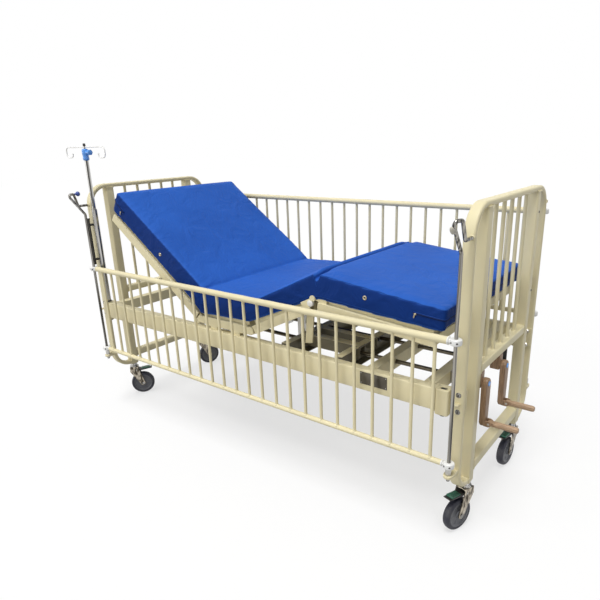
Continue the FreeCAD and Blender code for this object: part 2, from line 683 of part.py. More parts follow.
def knob_on_rod(name, x_sign):
    """The ball knob of a near rod: inward from the crest at the head, outward below it at the foot."""
    if x_sign == "-1":
        base = ("-(rod_x + rod_aside)", "-(rail_y + rod_lean - rod_return)", ROD_CREST)
        turned = "y"
    else:
        share = "(1 - knob_drop / rod_rise)"
        base = ("rod_x", f"-(rail_y + rod_lean * {share})", f"{ROD_CREST} - knob_drop")
        turned = "-y"
    low, top = "(rod_radius + knob_stem)", "(rod_radius + knob_stem + 5 * knob_ball / 3)"
    corners = [("0", "0"), ("knob_neck", "0"), ("knob_neck", low),
               ("0.75 * knob_ball", f"{low} + knob_ball / 4"), ("knob_ball", f"{low} + 5 * knob_ball / 6"),
               ("0.75 * knob_ball", f"{top} - knob_ball / 4"), ("knob_neck", top), ("0", top)]
    return revolve(name + "KnobBall", corners, base, turned)


def make_stay():
    """The dark stay tube beside the near head rod, with a cap and two clips to the hoop."""
    x, y = "-rod_x - stay_offset_x", "-rail_y + stay_offset_y"
    tube = pipe("StayTube", "stay_radius", "rail_tube_wall", (x, y, "stay_low"), "stay_high - stay_low")
    cap = rod("StayCap", "stay_radius + stay_cap_lap", (x, y, "stay_high"), "nut_tall")
    clips = []
    for i, level in enumerate(("stay_low + stay_clip_low", "stay_high - stay_clip_high")):
        plate = box(f"StayClip{i}Plate", (f"{x} - stay_clip_wide / 2", y, level),
                    ("stay_clip_wide", f"-hoop_half_width - ({y})", "tab_thick"))
        core = rod(f"StayClip{i}Core", "stay_radius", (x, y, level), "tab_thick")
        clips.append(cut(f"StayClip{i}", plate, core))
    node("stay_tube", [tube, cap] + clips)


# ---------------------------------------------------------------- platform

THIGH_PIVOT = ("thigh_pivot_x", "pivot_level")
BACK_PIVOT = ("back_pivot_x", "pivot_level")
KNEE_FLAT = ("thigh_pivot_x + thigh_length", "pivot_level + knee_rise")
KNEE_REST = (
    "thigh_pivot_x + thigh_length * cos(thigh_angle) - knee_rise * sin(thigh_angle)",
    "pivot_level + thigh_length * sin(thigh_angle) + knee_rise * cos(thigh_angle)")
HANGERS = {"back": "back_pivot_x + back_hanger_set", "knee": "thigh_pivot_x - knee_hanger_set"}
TUBE_Y = "section_half - section_wide / 2"
TUBE_INNER = "2 * section_half - 2 * section_wide"


def to_rest(section, item):
    """Turn a flat-drawn item of a section to its rest pose."""
    if section == "back":
        return turn(item, BACK_PIVOT, BACK_PIVOT, "back_angle")
    if section == "thigh":
        return turn(item, THIGH_PIVOT, THIGH_PIVOT, "-thigh_angle")
    if section == "calf":
        return turn(item, KNEE_FLAT, KNEE_REST, "calf_droop")
    return item


def side_members(name, low, high):
    """The two long tubes of a section frame."""
    return [channel(f"{name}{side}Member",
                    (f"(({low}) + ({high})) / 2", f"{sign} * ({TUBE_Y})", "pivot_level"),
                    (f"({high}) - ({low})", "section_wide", "section_tall"), 0)
            for side, sign in SIDES]


def cross_member(name, x):
    """A cross tube between the long tubes, centred on x."""
    return channel(name, (x, "0", "pivot_level"), ("section_wide", TUBE_INNER, "section_tall"), 1)


def hinge_leaf(name, pivot, toward, y, thick, hole):
    """A hinge leaf from a tube end to its eye, around a cross-bed pin."""
    x, z = pivot
    end = f"{x} + {toward} * hinge_reach"
    low = x if toward == "1" else end
    arm = block(name + "Arm", (f"(({low}) + ({low}) + hinge_reach) / 2", y, z),
                ("hinge_reach", thick, "2 * hinge_eye"))
    eye = rod(name + "Eye", "hinge_eye", (x, f"{y} - ({thick}) / 2", z), thick, "y")
    bore = rod(name + "Bore", hole, (x, f"{y} - ({thick}) / 2", z), thick, "y")
    return cut(name, fuse(name + "Body", [arm, eye]), bore)


def make_seat():
    """The fixed seat section, which carries the pins of the back and thigh hinges."""
    low, high = "back_pivot_x + hinge_reach", "thigh_pivot_x - hinge_reach"
    parts = side_members("Seat", low, high)
    leaf = "(section_wide - tongue_thick) / 2 - safe_gap"
    for tag, pivot, toward in (("Back", BACK_PIVOT, "1"), ("Thigh", THIGH_PIVOT, "-1")):
        for side, sign in SIDES:
            name = f"Seat{tag}{side}"
            for edge, way in (("Out", "1"), ("In", "-1")):
                y = f"{sign} * ({TUBE_Y}) + {way} * ((section_wide - ({leaf})) / 2)"
                parts.append(hinge_leaf(name + edge, pivot, toward, y, leaf, "hinge_radius"))
            parts.append(rod(name + "Pin", "hinge_radius",
                             (pivot[0], f"{sign} * ({TUBE_Y}) - section_wide / 2", pivot[1]),
                             "section_wide", "y"))
    for i, x in enumerate(("back_pivot_x + seat_cross_first", *HANGERS.values())):
        parts.append(cross_member(f"SeatCross{i}", x))
    spacer_tall = "pivot_level - section_tall / 2 - side_tube_top"
    for side, sign in SIDES:
        for i, x in enumerate(("back_pivot_x + spacer_set", "thigh_pivot_x - spacer_set")):
            parts.append(block(f"Seat{side}Spacer{i}",
                               (x, f"{sign} * ({TUBE_Y})", f"side_tube_top + ({spacer_tall}) / 2"),
                               ("spacer_long", "section_wide", spacer_tall)))
    node("seat_frame", parts)
    node("seat_panel", [panel("Seat", "back_pivot_x + seat_panel_head",
                              "thigh_pivot_x - seat_panel_foot")])


def panel(name, low, high):
    """A pressed steel platform panel: a sheet with turned-down edges."""
    bottom = "pivot_level + section_tall / 2"
    extent = (f"({high}) - ({low})", "2 * panel_half", "panel_depth")
    outer = box(name + "PanelOuter", (low, "-panel_half", bottom), extent)
    inner = box(name + "PanelInner", (f"{low} + panel_sheet", "-panel_half + panel_sheet", bottom),
                (f"({high}) - ({low}) - 2 * panel_sheet", "2 * panel_half - 2 * panel_sheet",
                 "panel_depth - panel_sheet"))
    return cut(name + "Panel", outer, inner)


def make_back():
    """The backrest frame and its panel."""
    low, high = "back_pivot_x - back_length", "back_pivot_x - hinge_reach"
    parts = side_members("Back", low, high)
    parts.append(cross_member("BackEndCross", f"{low} + section_wide / 2"))
    parts.append(cross_member("BackMidCross", f"{low} + back_length / 2"))
    parts.append(rod("BackTorque", "torque_radius",
                     ("back_pivot_x - torque_set", f"-({TUBE_INNER}) / 2", "pivot_level"), TUBE_INNER, "y"))
    parts += [hinge_leaf(f"Back{side}Tongue", BACK_PIVOT, "-1", f"{sign} * ({TUBE_Y})",
                         "tongue_thick", "hinge_radius + running_gap") for side, sign in SIDES]
    to_rest("back", node("back_frame", parts))
    to_rest("back", node("back_panel", [panel("Back", f"{low} + end_panel_inset",
                                            "back_pivot_x - panel_setback")]))


def knee_leaf(name, toward, y, hole):
    """A leaf on top of a section tube that reaches up to the knee pin."""
    x, z = KNEE_FLAT
    tube_top = "pivot_level + section_tall / 2"
    end, root = f"{x} + {toward} * (knee_reach + knee_foot)", f"{x} + {toward} * knee_reach"
    low = x if toward == "1" else end
    arm = box(name + "Arm", (low, f"{y} - knee_leaf / 2", tube_top),
              ("knee_reach + knee_foot", "knee_leaf", f"{z} + knee_arm_rise - ({tube_top})"))
    relief = box(name + "Relief", (x if toward == "1" else root, f"{y} - knee_leaf / 2", tube_top),
                 ("knee_reach", "knee_leaf", "knee_relief"))
    eye = rod(name + "Eye", "knee_eye", (x, f"{y} - knee_leaf / 2", z), "knee_leaf", "y")
    bore = rod(name + "Bore", hole, (x, f"{y} - knee_leaf / 2", z), "knee_leaf", "y")
    return cut(name, cut(name + "Solid", fuse(name + "Body", [arm, eye]), relief), bore)


def make_thigh():
    """The thigh frame, its panel and the knee pins."""
    low, high = "thigh_pivot_x + hinge_reach", "thigh_pivot_x + thigh_length - knee_reach"
    parts = side_members("Thigh", low, high)
    parts.append(cross_member("ThighCross", f"{high} - section_wide / 2"))
    parts.append(rod("ThighTorque", "torque_radius",
                     ("thigh_pivot_x + torque_set", f"-({TUBE_INNER}) / 2", "pivot_level"), TUBE_INNER, "y"))
    parts += [hinge_leaf(f"Thigh{side}Tongue", THIGH_PIVOT, "1", f"{sign} * ({TUBE_Y})",
                         "tongue_thick", "hinge_radius + running_gap") for side, sign in SIDES]
    for side, sign in SIDES:
        outer = f"{sign} * (section_half - knee_leaf / 2)"
        parts.append(knee_leaf(f"Thigh{side}Knee", "-1", outer, "hinge_radius"))
        start = "section_half - 2 * knee_leaf - safe_gap"
        parts.append(rod(f"Knee{side}Pin", "hinge_radius",
                         (KNEE_FLAT[0], start if sign == "1" else "-section_half", KNEE_FLAT[1]),
                         f"section_half - ({start})", "y"))
    to_rest("thigh", node("thigh_frame", parts))
    to_rest("thigh", node("thigh_panel", [panel("Thigh", "thigh_pivot_x + thigh_panel_head",
                                                "thigh_pivot_x + thigh_length - knee_panel_gap")]))


def make_calf():
    """The calf frame, which hangs from the knee pins, and its panel."""
    knee = KNEE_FLAT[0]
    low, high = f"{knee} + knee_reach", f"{knee} + calf_length"
    parts = side_members("Calf", low, high)
    parts.append(cross_member("CalfKneeCross", f"{low} + section_wide / 2"))
    parts.append(cross_member("CalfEndCross", f"{high} - section_wide / 2"))
    for side, sign in SIDES:
        inner = f"{sign} * (section_half - 3 * knee_leaf / 2 - safe_gap)"
        parts.append(knee_leaf(f"Calf{side}Knee", "1", inner, "hinge_radius + running_gap"))
    to_rest("calf", node("calf_frame", parts))
    to_rest("calf", node("calf_panel", [panel("Calf", f"{knee} + knee_panel_gap",
                                            f"{high} - end_panel_inset")]))


def mattress(section, low, high, mitres=(None, None), rounded=None):
    """One mattress section: a slab, cut on a slope where it folds inward."""
    name = "Mattress" + section.title()
    bottom = "pivot_level + section_tall / 2 + panel_depth"
    rise = "section_tall / 2 + panel_depth"
    crown = f"{rise} + mattress_thick"
    ends = []
    for way, end, mitre in zip(("1", "-1"), (low, high), mitres):
        if mitre is None:
            ends.append((f"{end} + {way} * mattress_overlap / 2",) * 2)
        else:
            ends.append((f"{end} + {way} * (({rise}) * tan({mitre}) + mattress_overlap / 2)",
                         f"{end} + {way} * (({crown}) * tan({mitre}) + mattress_overlap / 2)"))
    (low_bottom, low_top), (high_bottom, high_top) = ends
    top = f"{bottom} + mattress_thick"
    slab = pad(name + "Slab", "XZ_Plane", [[(low_bottom, bottom), (high_bottom, bottom),
                                            (high_top, top), (low_top, top)]], "2 * mattress_half")
    if rounded:
        doc.recompute()
        slab = round_corners(slab, name, rounded)
    item = node("mattress_" + section, [slab])
    return to_rest(section, item)


def round_corners(body, name, edge_x):
    """Round the two plan corners of a slab at its far or near X end."""
    slab = body.Tip
    shape = slab.Shape
    box_x = shape.BoundBox.XMax if edge_x == "max" else shape.BoundBox.XMin
    chosen = [f"Edge{i}" for i, edge in enumerate(shape.Edges, start=1)
              if all(abs(vertex.X - box_x) < 0.01 for vertex in edge.Vertexes)
              and edge.BoundBox.YLength < 0.01]
    feature = body.newObject("PartDesign::Fillet", name + "Corners")
    feature.Base = (slab, chosen)
    bind(feature, "Radius", "mattress_corner")
    body.Tip = feature
    return body


def make_mattress():
    """The four sections of the mattress."""
    knee = KNEE_FLAT[0]
    mattress("back", "back_pivot_x - back_length - mattress_head_lap", "back_pivot_x",
             (None, "back_mitre"), "min")
    mattress("seat", "back_pivot_x", "thigh_pivot_x", ("back_mitre", "thigh_mitre"))
    mattress("thigh", "thigh_pivot_x", knee, ("thigh_mitre", None))
    mattress("calf", knee, f"{knee} + calf_length + mattress_foot_lap", (None, None), "max")


# ---------------------------------------------------------------- lifting gear

def make_lever(section, pivot, way):
    """A pair of lever plates, upright at rest, with the roller that the nut pushes."""
    angle = f"{section}_angle"
    x, z = pivot
    y = f"{'back' if section == 'back' else 'knee'}_screw_y"
    tube_x, tube_z = f"{way} * torque_set * cos({angle})", f"torque_set * sin({angle})"
    low = "lever_radius + lever_width / 2"
    lean = f"{way} * lever_width / 2"
    saddle_x, saddle_z = f"{way} * lever_saddle * cos({angle})", f"lever_saddle * sin({angle})"
    outline = [(f"-({lean})", f"-({low})"), (lean, f"-({low})"),
               (f"{tube_x} + {saddle_x}", f"{tube_z} + {saddle_z}"),
               (f"{tube_x} - ({saddle_x})", f"{tube_z} - {saddle_z}"),
               (f"-({lean})", "-lever_width")]
    parts = []
    name = section.title() + "Lever"
    for side, sign in SIDES:
        middle = f"{y} + {sign} * (lever_gap + lever_plate) / 2"
        plate = pad(name + side, "XZ_Plane", [outline], "lever_plate", (x, middle, z))
        holes = [rod(name + side + "Hole", "torque_radius",
                     (f"{x} + {tube_x}", f"{middle} - lever_plate", f"{z} + {tube_z}"),
                     "2 * lever_plate", "y"),
                 rod(name + side + "Eye", "roller_radius / 2",
                     (x, f"{middle} - lever_plate", f"{z} - lever_radius"), "2 * lever_plate", "y")]
        parts.append(cut(name + side + "Plate", plate, group(name + side + "Holes", holes)))
    reach = "lever_gap / 2 + lever_plate"
    pin = rod(name + "Pin", "roller_radius / 2", (x, f"{y} - ({reach})", f"{z} - lever_radius"),
              f"2 * ({reach})", "y")
    wheel = rod(name + "Wheel", "roller_radius", (x, f"{y} - lever_gap / 2", f"{z} - lever_radius"),
                "lever_gap", "y")
    parts.append(fuse(name + "Roller", [pin, wheel]))
    node(section + "_lever", parts)


def make_nut(screw, pivot_x):
    """A lift nut on its shaft; the fork below it straddles the lever's roller."""
    name = screw.title() + "Nut"
    y = f"{screw}_screw_y"
    body = block(name + "Block", (pivot_x, y, "screw_level"), ("nut_long", "nut_wide", "2 * nut_half_tall"))
    gap = "2 * (roller_radius + roller_play)"
    tall = "fork_drop - nut_half_tall"
    skirt = block(name + "Skirt", (pivot_x, y, f"screw_level - nut_half_tall - ({tall}) / 2"),
                  ("nut_long", "nut_wide", tall))
    slot = block(name + "Slot", (pivot_x, y, f"screw_level - nut_half_tall - 1 - ({tall}) / 2"),
                 (gap, "2 * nut_wide", tall))
    bore = rod(name + "Bore", "screw_radius + running_gap", (f"{pivot_x} - nut_long", y, "screw_level"),
               "2 * nut_long", "x")
    solid = cut(name + "Solid", fuse(name + "Body", [body, skirt]), group(name + "Voids", [slot, bore]))
    node(screw + "_lift_nut", [solid])


def make_crank(screw, pivot_x):
    """A crank shaft with its moulded arm and cap, and the folding handle."""
    name = screw.title() + "Crank"
    y, z = f"{screw}_screw_y", "screw_level"
    start = f"{pivot_x} - screw_overrun"
    seat_end = "crank_x + crank_seat"
    shaft = rod(name + "Shaft", "screw_radius", (start, y, z), f"{seat_end} - ({start})", "x")
    elbow = f"{z} - crank_reach"
    hub = rod(name + "Hub", "crank_hub", ("crank_x", y, z), "crank_thick", "x")
    arm = box(name + "Arm", ("crank_x", f"{y} - crank_half", elbow),
              ("crank_thick", "2 * crank_half", "crank_reach"))
    toe = rod(name + "Toe", "crank_half", ("crank_x", y, elbow), "crank_thick", "x")
    face = "crank_x + crank_thick"
    pin_x = f"{face} + grip_radius + grip_set"
    cheeks = []
    for side, sign in SIDES:
        middle = f"{y} + {sign} * (grip_tongue / 2 + safe_gap + grip_cheek / 2)"
        ear = block(name + side + "Ear", (f"({face} + {pin_x}) / 2", middle, elbow),
                    (f"{pin_x} - ({face})", "grip_cheek", "2 * grip_radius"))
        tip = rod(name + side + "Tip", "grip_radius", (pin_x, f"{middle} - grip_cheek / 2", elbow),
                  "grip_cheek", "y")
        hole = rod(name + side + "PinHole", "grip_pin", (pin_x, f"{middle} - grip_cheek", elbow),
                   "2 * grip_cheek", "y")
        cheeks.append(cut(name + side + "Cheek", fuse(name + side + "Lug", [ear, tip]), hole))
    socket = rod(name + "Socket", "screw_radius", ("crank_x", y, z), "crank_seat", "x")
    cap = rod(name + "Cap", "cap_radius", (face, y, z), "cap_tall", "x")
    pin_low = f"{y} - grip_tongue / 2 - safe_gap - grip_cheek"
    pin = rod(name + "Pin", "grip_pin", (pin_x, pin_low, elbow),
              "grip_tongue + 2 * safe_gap + 2 * grip_cheek", "y")
    body = cut(name + "Moulding", fuse(name + "Body", [hub, arm, toe] + cheeks), socket)
    node(screw + "_crank_shaft", [shaft])
    node(screw + "_crank_arm", [body, cap, pin])
    tongue = block(name + "Tongue", (f"{pin_x} + grip_radius", y, elbow),
                   ("2 * grip_radius", "grip_tongue", "2 * grip_nose"))
    nose = rod(name + "TongueNose", "grip_nose", (pin_x, f"{y} - grip_tongue / 2", elbow),
               "grip_tongue", "y")
    grip = rod(name + "Grip", "grip_radius", (f"{pin_x} + grip_radius + grip_step", y, elbow),
               "grip_long - grip_radius", "x")
    bore = rod(name + "TongueBore", "grip_pin + running_gap", (pin_x, f"{y} - grip_tongue", elbow),
               "2 * grip_tongue", "y")
    node(screw + "_crank_handle", [cut(name + "Handle", fuse(name + "HandleBody", [tongue, nose, grip]),
                                       bore)])


def make_bearings():
    """Bearing plates under the seat, on the foot cross tube and in the end housings."""
    parts, housings = [], []
    seat_low = "pivot_level - section_tall / 2"
    for screw, x in HANGERS.items():
        parts.append(bearing(screw + "Hanger", f"({x}) - hanger_thick / 2", screw, "hanger_thick",
                             "hanger_half", seat_low, "screw_level - hanger_drop"))
    for screw in ("back", "knee"):
        parts.append(bearing(screw + "EndBearing", "cross_foot_x + cross_tube_wide / 2", screw,
                             "hanger_thick", "hanger_half", "side_tube_top",
                             "screw_level - hanger_drop"))
        housings.append(bearing(screw + "Housing", "foot_end_x + leg_side / 2 - housing_long", screw,
                                "housing_long", "housing_half", "upper_bar_level - upper_bar_tall / 2",
                                "screw_level - housing_half"))
    node("shaft_bearings", parts)
    node("crank_housings", housings)


def bearing(name, low_x, screw, thick, half, top, bottom):
    """A plate or housing across the bed with a running bore for a shaft."""
    y = f"{screw}_screw_y"
    body = box(name + "Body", (low_x, f"{y} - {half}", bottom),
               (thick, f"2 * {half}", f"{top} - ({bottom})"))
    bore = rod(name + "Bore", "screw_radius + running_gap", (low_x, y, "screw_level"), thick, "x")
    return cut(name, body, bore)


# ---------------------------------------------------------------- drip pole

def make_pole():
    """The drip pole: two fixed tubes, clamp and knob, and the sliding hook rod."""
    x, y = "socket_head_x", "-side_tube_y"
    foot = "side_tube_top - side_tube_tall - socket_drop + socket_floor"
    lower = pipe("PoleLower", "pole_radius", "pole_radius - pole_inner", (x, y, foot),
                 f"pole_step - ({foot})")
    upper_top = "clamp_low + clamp_lap"
    upper = pipe("PoleUpper", "pole_inner", "pole_wall", (x, y, "pole_upper_start"),
                 f"{upper_top} - pole_upper_start")
    node("pole_tubes", [lower, upper])
    body = rod("ClampBody", "clamp_radius", (x, y, "clamp_low"), "clamp_high - clamp_low")
    boss = rod("ClampBoss", "clamp_boss_radius", (x, y, "knob_level"), "clamp_boss", "x")
    voids = group("ClampVoids", [
        rod("ClampSeat", "pole_inner", (x, y, "clamp_low"), "clamp_lap"),
        rod("ClampBore", "hook_rod_radius + running_gap", (x, y, "clamp_low"), "2 * clamp_lap + clamp_boss"),
        rod("ClampThread", "knob_screw + running_gap",
            (f"{x} + hook_rod_radius + safe_gap", y, "knob_level"), "clamp_boss", "x")])
    node("pole_clamp", [cut("Clamp", fuse("ClampSolid", [body, boss]), voids)])
    tip = f"{x} + hook_rod_radius + safe_gap"
    head_start = f"{x} + clamp_boss + safe_gap"
    screw = rod("KnobScrew", "knob_screw", (tip, y, "knob_level"), f"{head_start} - ({tip})", "x")
    outline = [("0", "0"), ("0.6 * knob_radius", "0"), ("knob_radius", "0.35 * knob_long"),
               ("knob_radius", "0.7 * knob_long"), ("0.7 * knob_radius", "knob_long"), ("0", "knob_long")]
    head = revolve("KnobHead", outline, (head_start, y, "knob_level"), "x")
    node("pole_knob", [screw, head])
    node("pole_hooks", [shaped("Hooks", hook_solid())])


def hook_solid():
    """The hook rod with its cross arms and curled wire loops."""
    x, y = size("socket_head_x"), -size("side_tube_y")
    level, reach, loop = size("hook_level"), size("hook_reach"), size("hook_loop")
    low = size("hook_rod_low")
    hook_bar = Part.makeCylinder(size("hook_rod_radius"), size("hook_rod_high") - low,
                                        Vector(x, y, low))
    solids = []
    for way in (-1, 1):
        out = x + way * (reach + 2 * loop)
        tail = x + way * (reach - size("hook_tail_set"))
        points = [(x, y, level), (out, y, level), (out, y, level - 2 * loop),
                  (tail, y, level - 2 * loop),
                  (tail, y, level - 1.3 * loop)]
        radii = [loop * 0.8, loop * 0.8, loop * 0.6]
        solids.append(round_sweep(points, radii, size("hook_wire")))
    return hook_bar.fuse(solids)


# ---------------------------------------------------------------- casters

CASTERS = (("near_foot", "foot_end_x", "-1"), ("near_head", "head_end_x", "-1"),
           ("far_foot", "foot_end_x", "1"), ("far_head", "head_end_x", "1"))


def swivel(item, corner, x, sign):
    """Set an item that is drawn around the stem under its leg, at the wheel's heading."""
    item.Placement = FreeCAD.Placement(Vector(), FreeCAD.Rotation(Vector(0, 0, 1), 1))
    bind(item, "Placement.Rotation.Angle", "swivel_" + corner)
    return place(item, (x, f"{sign} * leg_half_span", "0"))


def make_caster(corner, x, sign):
    """One swivel caster: fork with stem and axle, wheel, and brake pedal."""
    name = corner.title().replace("_", "")
    outline = [("-22", "fork_top"), ("22", "fork_top"), ("30", "fork_crown"),
               ("caster_trail + 14", "wheel_radius + 16"), ("caster_trail + 14", "wheel_radius - 12"),
               ("caster_trail - 12", "wheel_radius - 12"), ("caster_trail - 30", "wheel_radius + 30"),
               ("-24", "fork_crown + 6")]
    shell = pad(name + "Fork", "XZ_Plane", [outline], "fork_wide")
    slot = block(name + "Slot", ("0", "0", "fork_crown / 2"),
                 ("4 * caster_trail", "fork_slot", "fork_crown"))
    axle_hole = rod(name + "AxleHole", "axle_radius", ("caster_trail", "-fork_wide", "wheel_radius"),
                    "2 * fork_wide", "y")
    pin_hole = rod(name + "PinHole", "axle_radius / 2", ("pedal_pin_x", "-fork_wide", "pedal_pin_level"),
                   "2 * fork_wide", "y")
    throat = box(name + "Throat", ("0", "-pedal_wide / 2 - safe_gap", "fork_crown - 1"),
                 ("2 * caster_trail", "pedal_wide + 2 * safe_gap", "fork_top - fork_crown - 6"))
    body = cut(name + "ForkCut", shell, group(name + "Voids", [slot, axle_hole, pin_hole, throat]))
    stem = rod(name + "Stem", "stem_radius", ("0", "0", "fork_top - 2"), "stem_top - fork_top + 2")
    axle = rod(name + "Axle", "axle_radius", ("caster_trail", "-fork_wide / 2", "wheel_radius"),
               "fork_wide", "y")
    pin = rod(name + "PedalPin", "axle_radius / 2", ("pedal_pin_x", "-fork_wide / 2", "pedal_pin_level"),
              "fork_wide", "y")
    swivel(node(f"caster_fork_{corner}", [fuse(name + "ForkSolid", [body, stem]), axle, pin]),
           corner, x, sign)
    rim = "wheel_radius - tread_depth"
    half = "wheel_wide / 2"
    tread = revolve(name + "Tread", [(rim, f"-({half})"), ("wheel_radius - 5", f"-({half})"),
                                     ("wheel_radius", f"-({half}) + 7"), ("wheel_radius", f"{half} - 7"),
                                     ("wheel_radius - 5", half), (rim, half)],
                    ("caster_trail", "0", "wheel_radius"), "y")
    hub_bore = "axle_radius + running_gap"
    hub = revolve(name + "Hub", [(hub_bore, f"-({half}) - 1.5"), ("14", f"-({half}) - 1.5"),
                                 ("16", f"-({half}) + 4"), (f"{rim} - 6", f"-({half}) + 4"),
                                 (f"{rim} - 3", f"-({half}) + 1"), (rim, f"-({half}) + 1"),
                                 (rim, f"{half} - 1"), (f"{rim} - 3", f"{half} - 1"),
                                 (f"{rim} - 6", f"{half} - 4"), ("16", f"{half} - 4"),
                                 ("14", f"{half} + 1.5"), (hub_bore, f"{half} + 1.5")],
                  ("caster_trail", "0", "wheel_radius"), "y")
    swivel(node(f"caster_wheel_{corner}", [tread, hub]), corner, x, sign)
    plate = [("pedal_pin_x - 7", "pedal_pin_level - 6"), ("pedal_pin_x + 7", "pedal_pin_level - 6"),
             ("pedal_pin_x + 26", "pedal_pin_level - 7"),
             ("pedal_pin_x + pedal_long", "pedal_pin_level + 1"),
             ("pedal_pin_x + pedal_long", "pedal_pin_level + 1 + pedal_thick"),
             ("pedal_pin_x + 24", "pedal_pin_level + 4"), ("pedal_pin_x - 7", "pedal_pin_level + 6")]
    pedal = cut(name + "Pedal", pad(name + "PedalPlate", "XZ_Plane", [plate], "pedal_wide"),
                rod(name + "PedalBore", "axle_radius / 2 + running_gap",
                    ("pedal_pin_x", "-pedal_wide", "pedal_pin_level"), "2 * pedal_wide", "y"))
    swivel(node(f"caster_pedal_{corner}", [pedal]), corner, x, sign)


def make_sockets():
    """Stem plugs in the leg ends, each with the collar that shows below the leg."""
    plugs = []
    for corner, x, sign in CASTERS:
        name = corner.title().replace("_", "") + "Plug"
        y = f"{sign} * leg_half_span"
        inside = "leg_side - 2 * tube_wall"
        plug = block(name + "Block", (x, y, "(leg_bottom + stem_top + 6) / 2"),
                     (inside, inside, "stem_top + 6 - leg_bottom"))
        collar = rod(name + "Collar", "collar_radius", (x, y, "collar_low"), "leg_bottom - collar_low")
        bore = rod(name + "Bore", "stem_radius + running_gap", (x, y, "collar_low"),
                   "stem_top - collar_low + safe_gap")
        plugs.append(cut(name, fuse(name + "Body", [plug, collar]), bore))
    node("caster_sockets", plugs)


# ---------------------------------------------------------------- build and write

make_ends()
make_bed_frame()
make_rail("near", "-1", "0")
make_rail("far", "1", "far_rail_lift")
make_guides()
make_seat()
make_back()
make_thigh()
make_calf()
make_mattress()
make_lever("back", BACK_PIVOT, "-1")
make_lever("thigh", THIGH_PIVOT, "1")
for screw_name, pivot_name in (("back", "back_pivot_x"), ("knee", "thigh_pivot_x")):
    make_nut(screw_name, pivot_name)
    make_crank(screw_name, pivot_name)
make_bearings()
make_pole()
make_sockets()
for caster_corner, caster_x, caster_sign in CASTERS:
    make_caster(caster_corner, caster_x, caster_sign)
doc.recompute()

for item in doc.Objects:
    if "Invalid" in item.State or "Error" in item.State:
        raise RuntimeError(f"{item.Name} failed: {item.State}")
for item in nodes:
    if item.Shape.isNull() or not item.Shape.isValid() or not item.Shape.Solids:
        raise RuntimeError(f"{item.Label} has no valid shape")

os.makedirs("parts", exist_ok=True)
for item in nodes:
    item.Shape.exportStep(f"parts/{item.Label}.step")
print(len(nodes), "nodes written")
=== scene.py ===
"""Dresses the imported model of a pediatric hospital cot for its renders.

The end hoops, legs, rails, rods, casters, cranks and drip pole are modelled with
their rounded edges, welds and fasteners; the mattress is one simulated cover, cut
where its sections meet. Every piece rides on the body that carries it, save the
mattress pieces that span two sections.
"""
import logging
import math
from dataclasses import dataclass, field
from enum import Enum, IntEnum
from typing import Any, Iterable, Sequence

import bmesh
import bpy
from mathutils import Matrix, Vector
from mathutils.bvhtree import BVHTree


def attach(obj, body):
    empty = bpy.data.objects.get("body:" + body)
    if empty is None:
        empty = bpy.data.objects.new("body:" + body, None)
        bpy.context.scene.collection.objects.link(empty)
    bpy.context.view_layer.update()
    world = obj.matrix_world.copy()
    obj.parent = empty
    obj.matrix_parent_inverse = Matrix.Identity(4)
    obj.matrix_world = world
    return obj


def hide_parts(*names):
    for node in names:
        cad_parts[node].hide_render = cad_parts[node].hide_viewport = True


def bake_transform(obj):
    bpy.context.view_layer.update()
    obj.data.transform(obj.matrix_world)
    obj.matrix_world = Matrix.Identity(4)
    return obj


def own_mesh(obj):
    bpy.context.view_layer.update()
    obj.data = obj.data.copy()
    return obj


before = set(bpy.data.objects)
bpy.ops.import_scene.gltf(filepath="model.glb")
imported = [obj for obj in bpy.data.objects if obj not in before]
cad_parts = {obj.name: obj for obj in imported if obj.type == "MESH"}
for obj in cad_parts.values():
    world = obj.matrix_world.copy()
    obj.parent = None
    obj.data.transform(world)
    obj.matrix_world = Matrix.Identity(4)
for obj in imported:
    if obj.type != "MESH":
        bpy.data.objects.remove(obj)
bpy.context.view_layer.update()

LOG = logging.getLogger("cot")
UP = Vector((0, 0, 1))
ALONG = Vector((1, 0, 0))
ACROSS = Vector((0, 1, 0))
FOOT_X, HEAD_X = 0.968, -1.000
LEG_Y = 0.254
SHARP_ANGLE = math.radians(38)
SMALLEST_RADIUS = 1e-5
DUST_TONE = (0.62, 0.60, 0.55)


class Body(Enum):
    """The bodies that the pieces ride on."""

    BED = "bed_frame"
    NEAR_RAIL = "near_rail"
    FAR_RAIL = "far_rail"
    BACK = "backrest"
    THIGH = "thigh_section"
    CALF = "calf_section"
    POLE = "drip_pole"
    HOOKS = "hook_rod"
    CLAMP_KNOB = "clamp_knob"


class Slot(Enum):
    """The record's material slots."""

    CREAM = "cream_enamel"
    CHROME = "chrome_steel"
    DARK = "dark_steel"
    ZINC = "zinc_steel"
    WHITE = "white_plastic"
    TAN = "tan_plastic"
    BLUE = "blue_plastic"
    KNOB = "knob_plastic"
    COVER = "mattress_cover"
    WHEEL = "wheel_rubber"
    PEDAL = "pedal_plastic"
    BRONZE = "bronze_steel"


# ------------------------------------------------------------------ materials

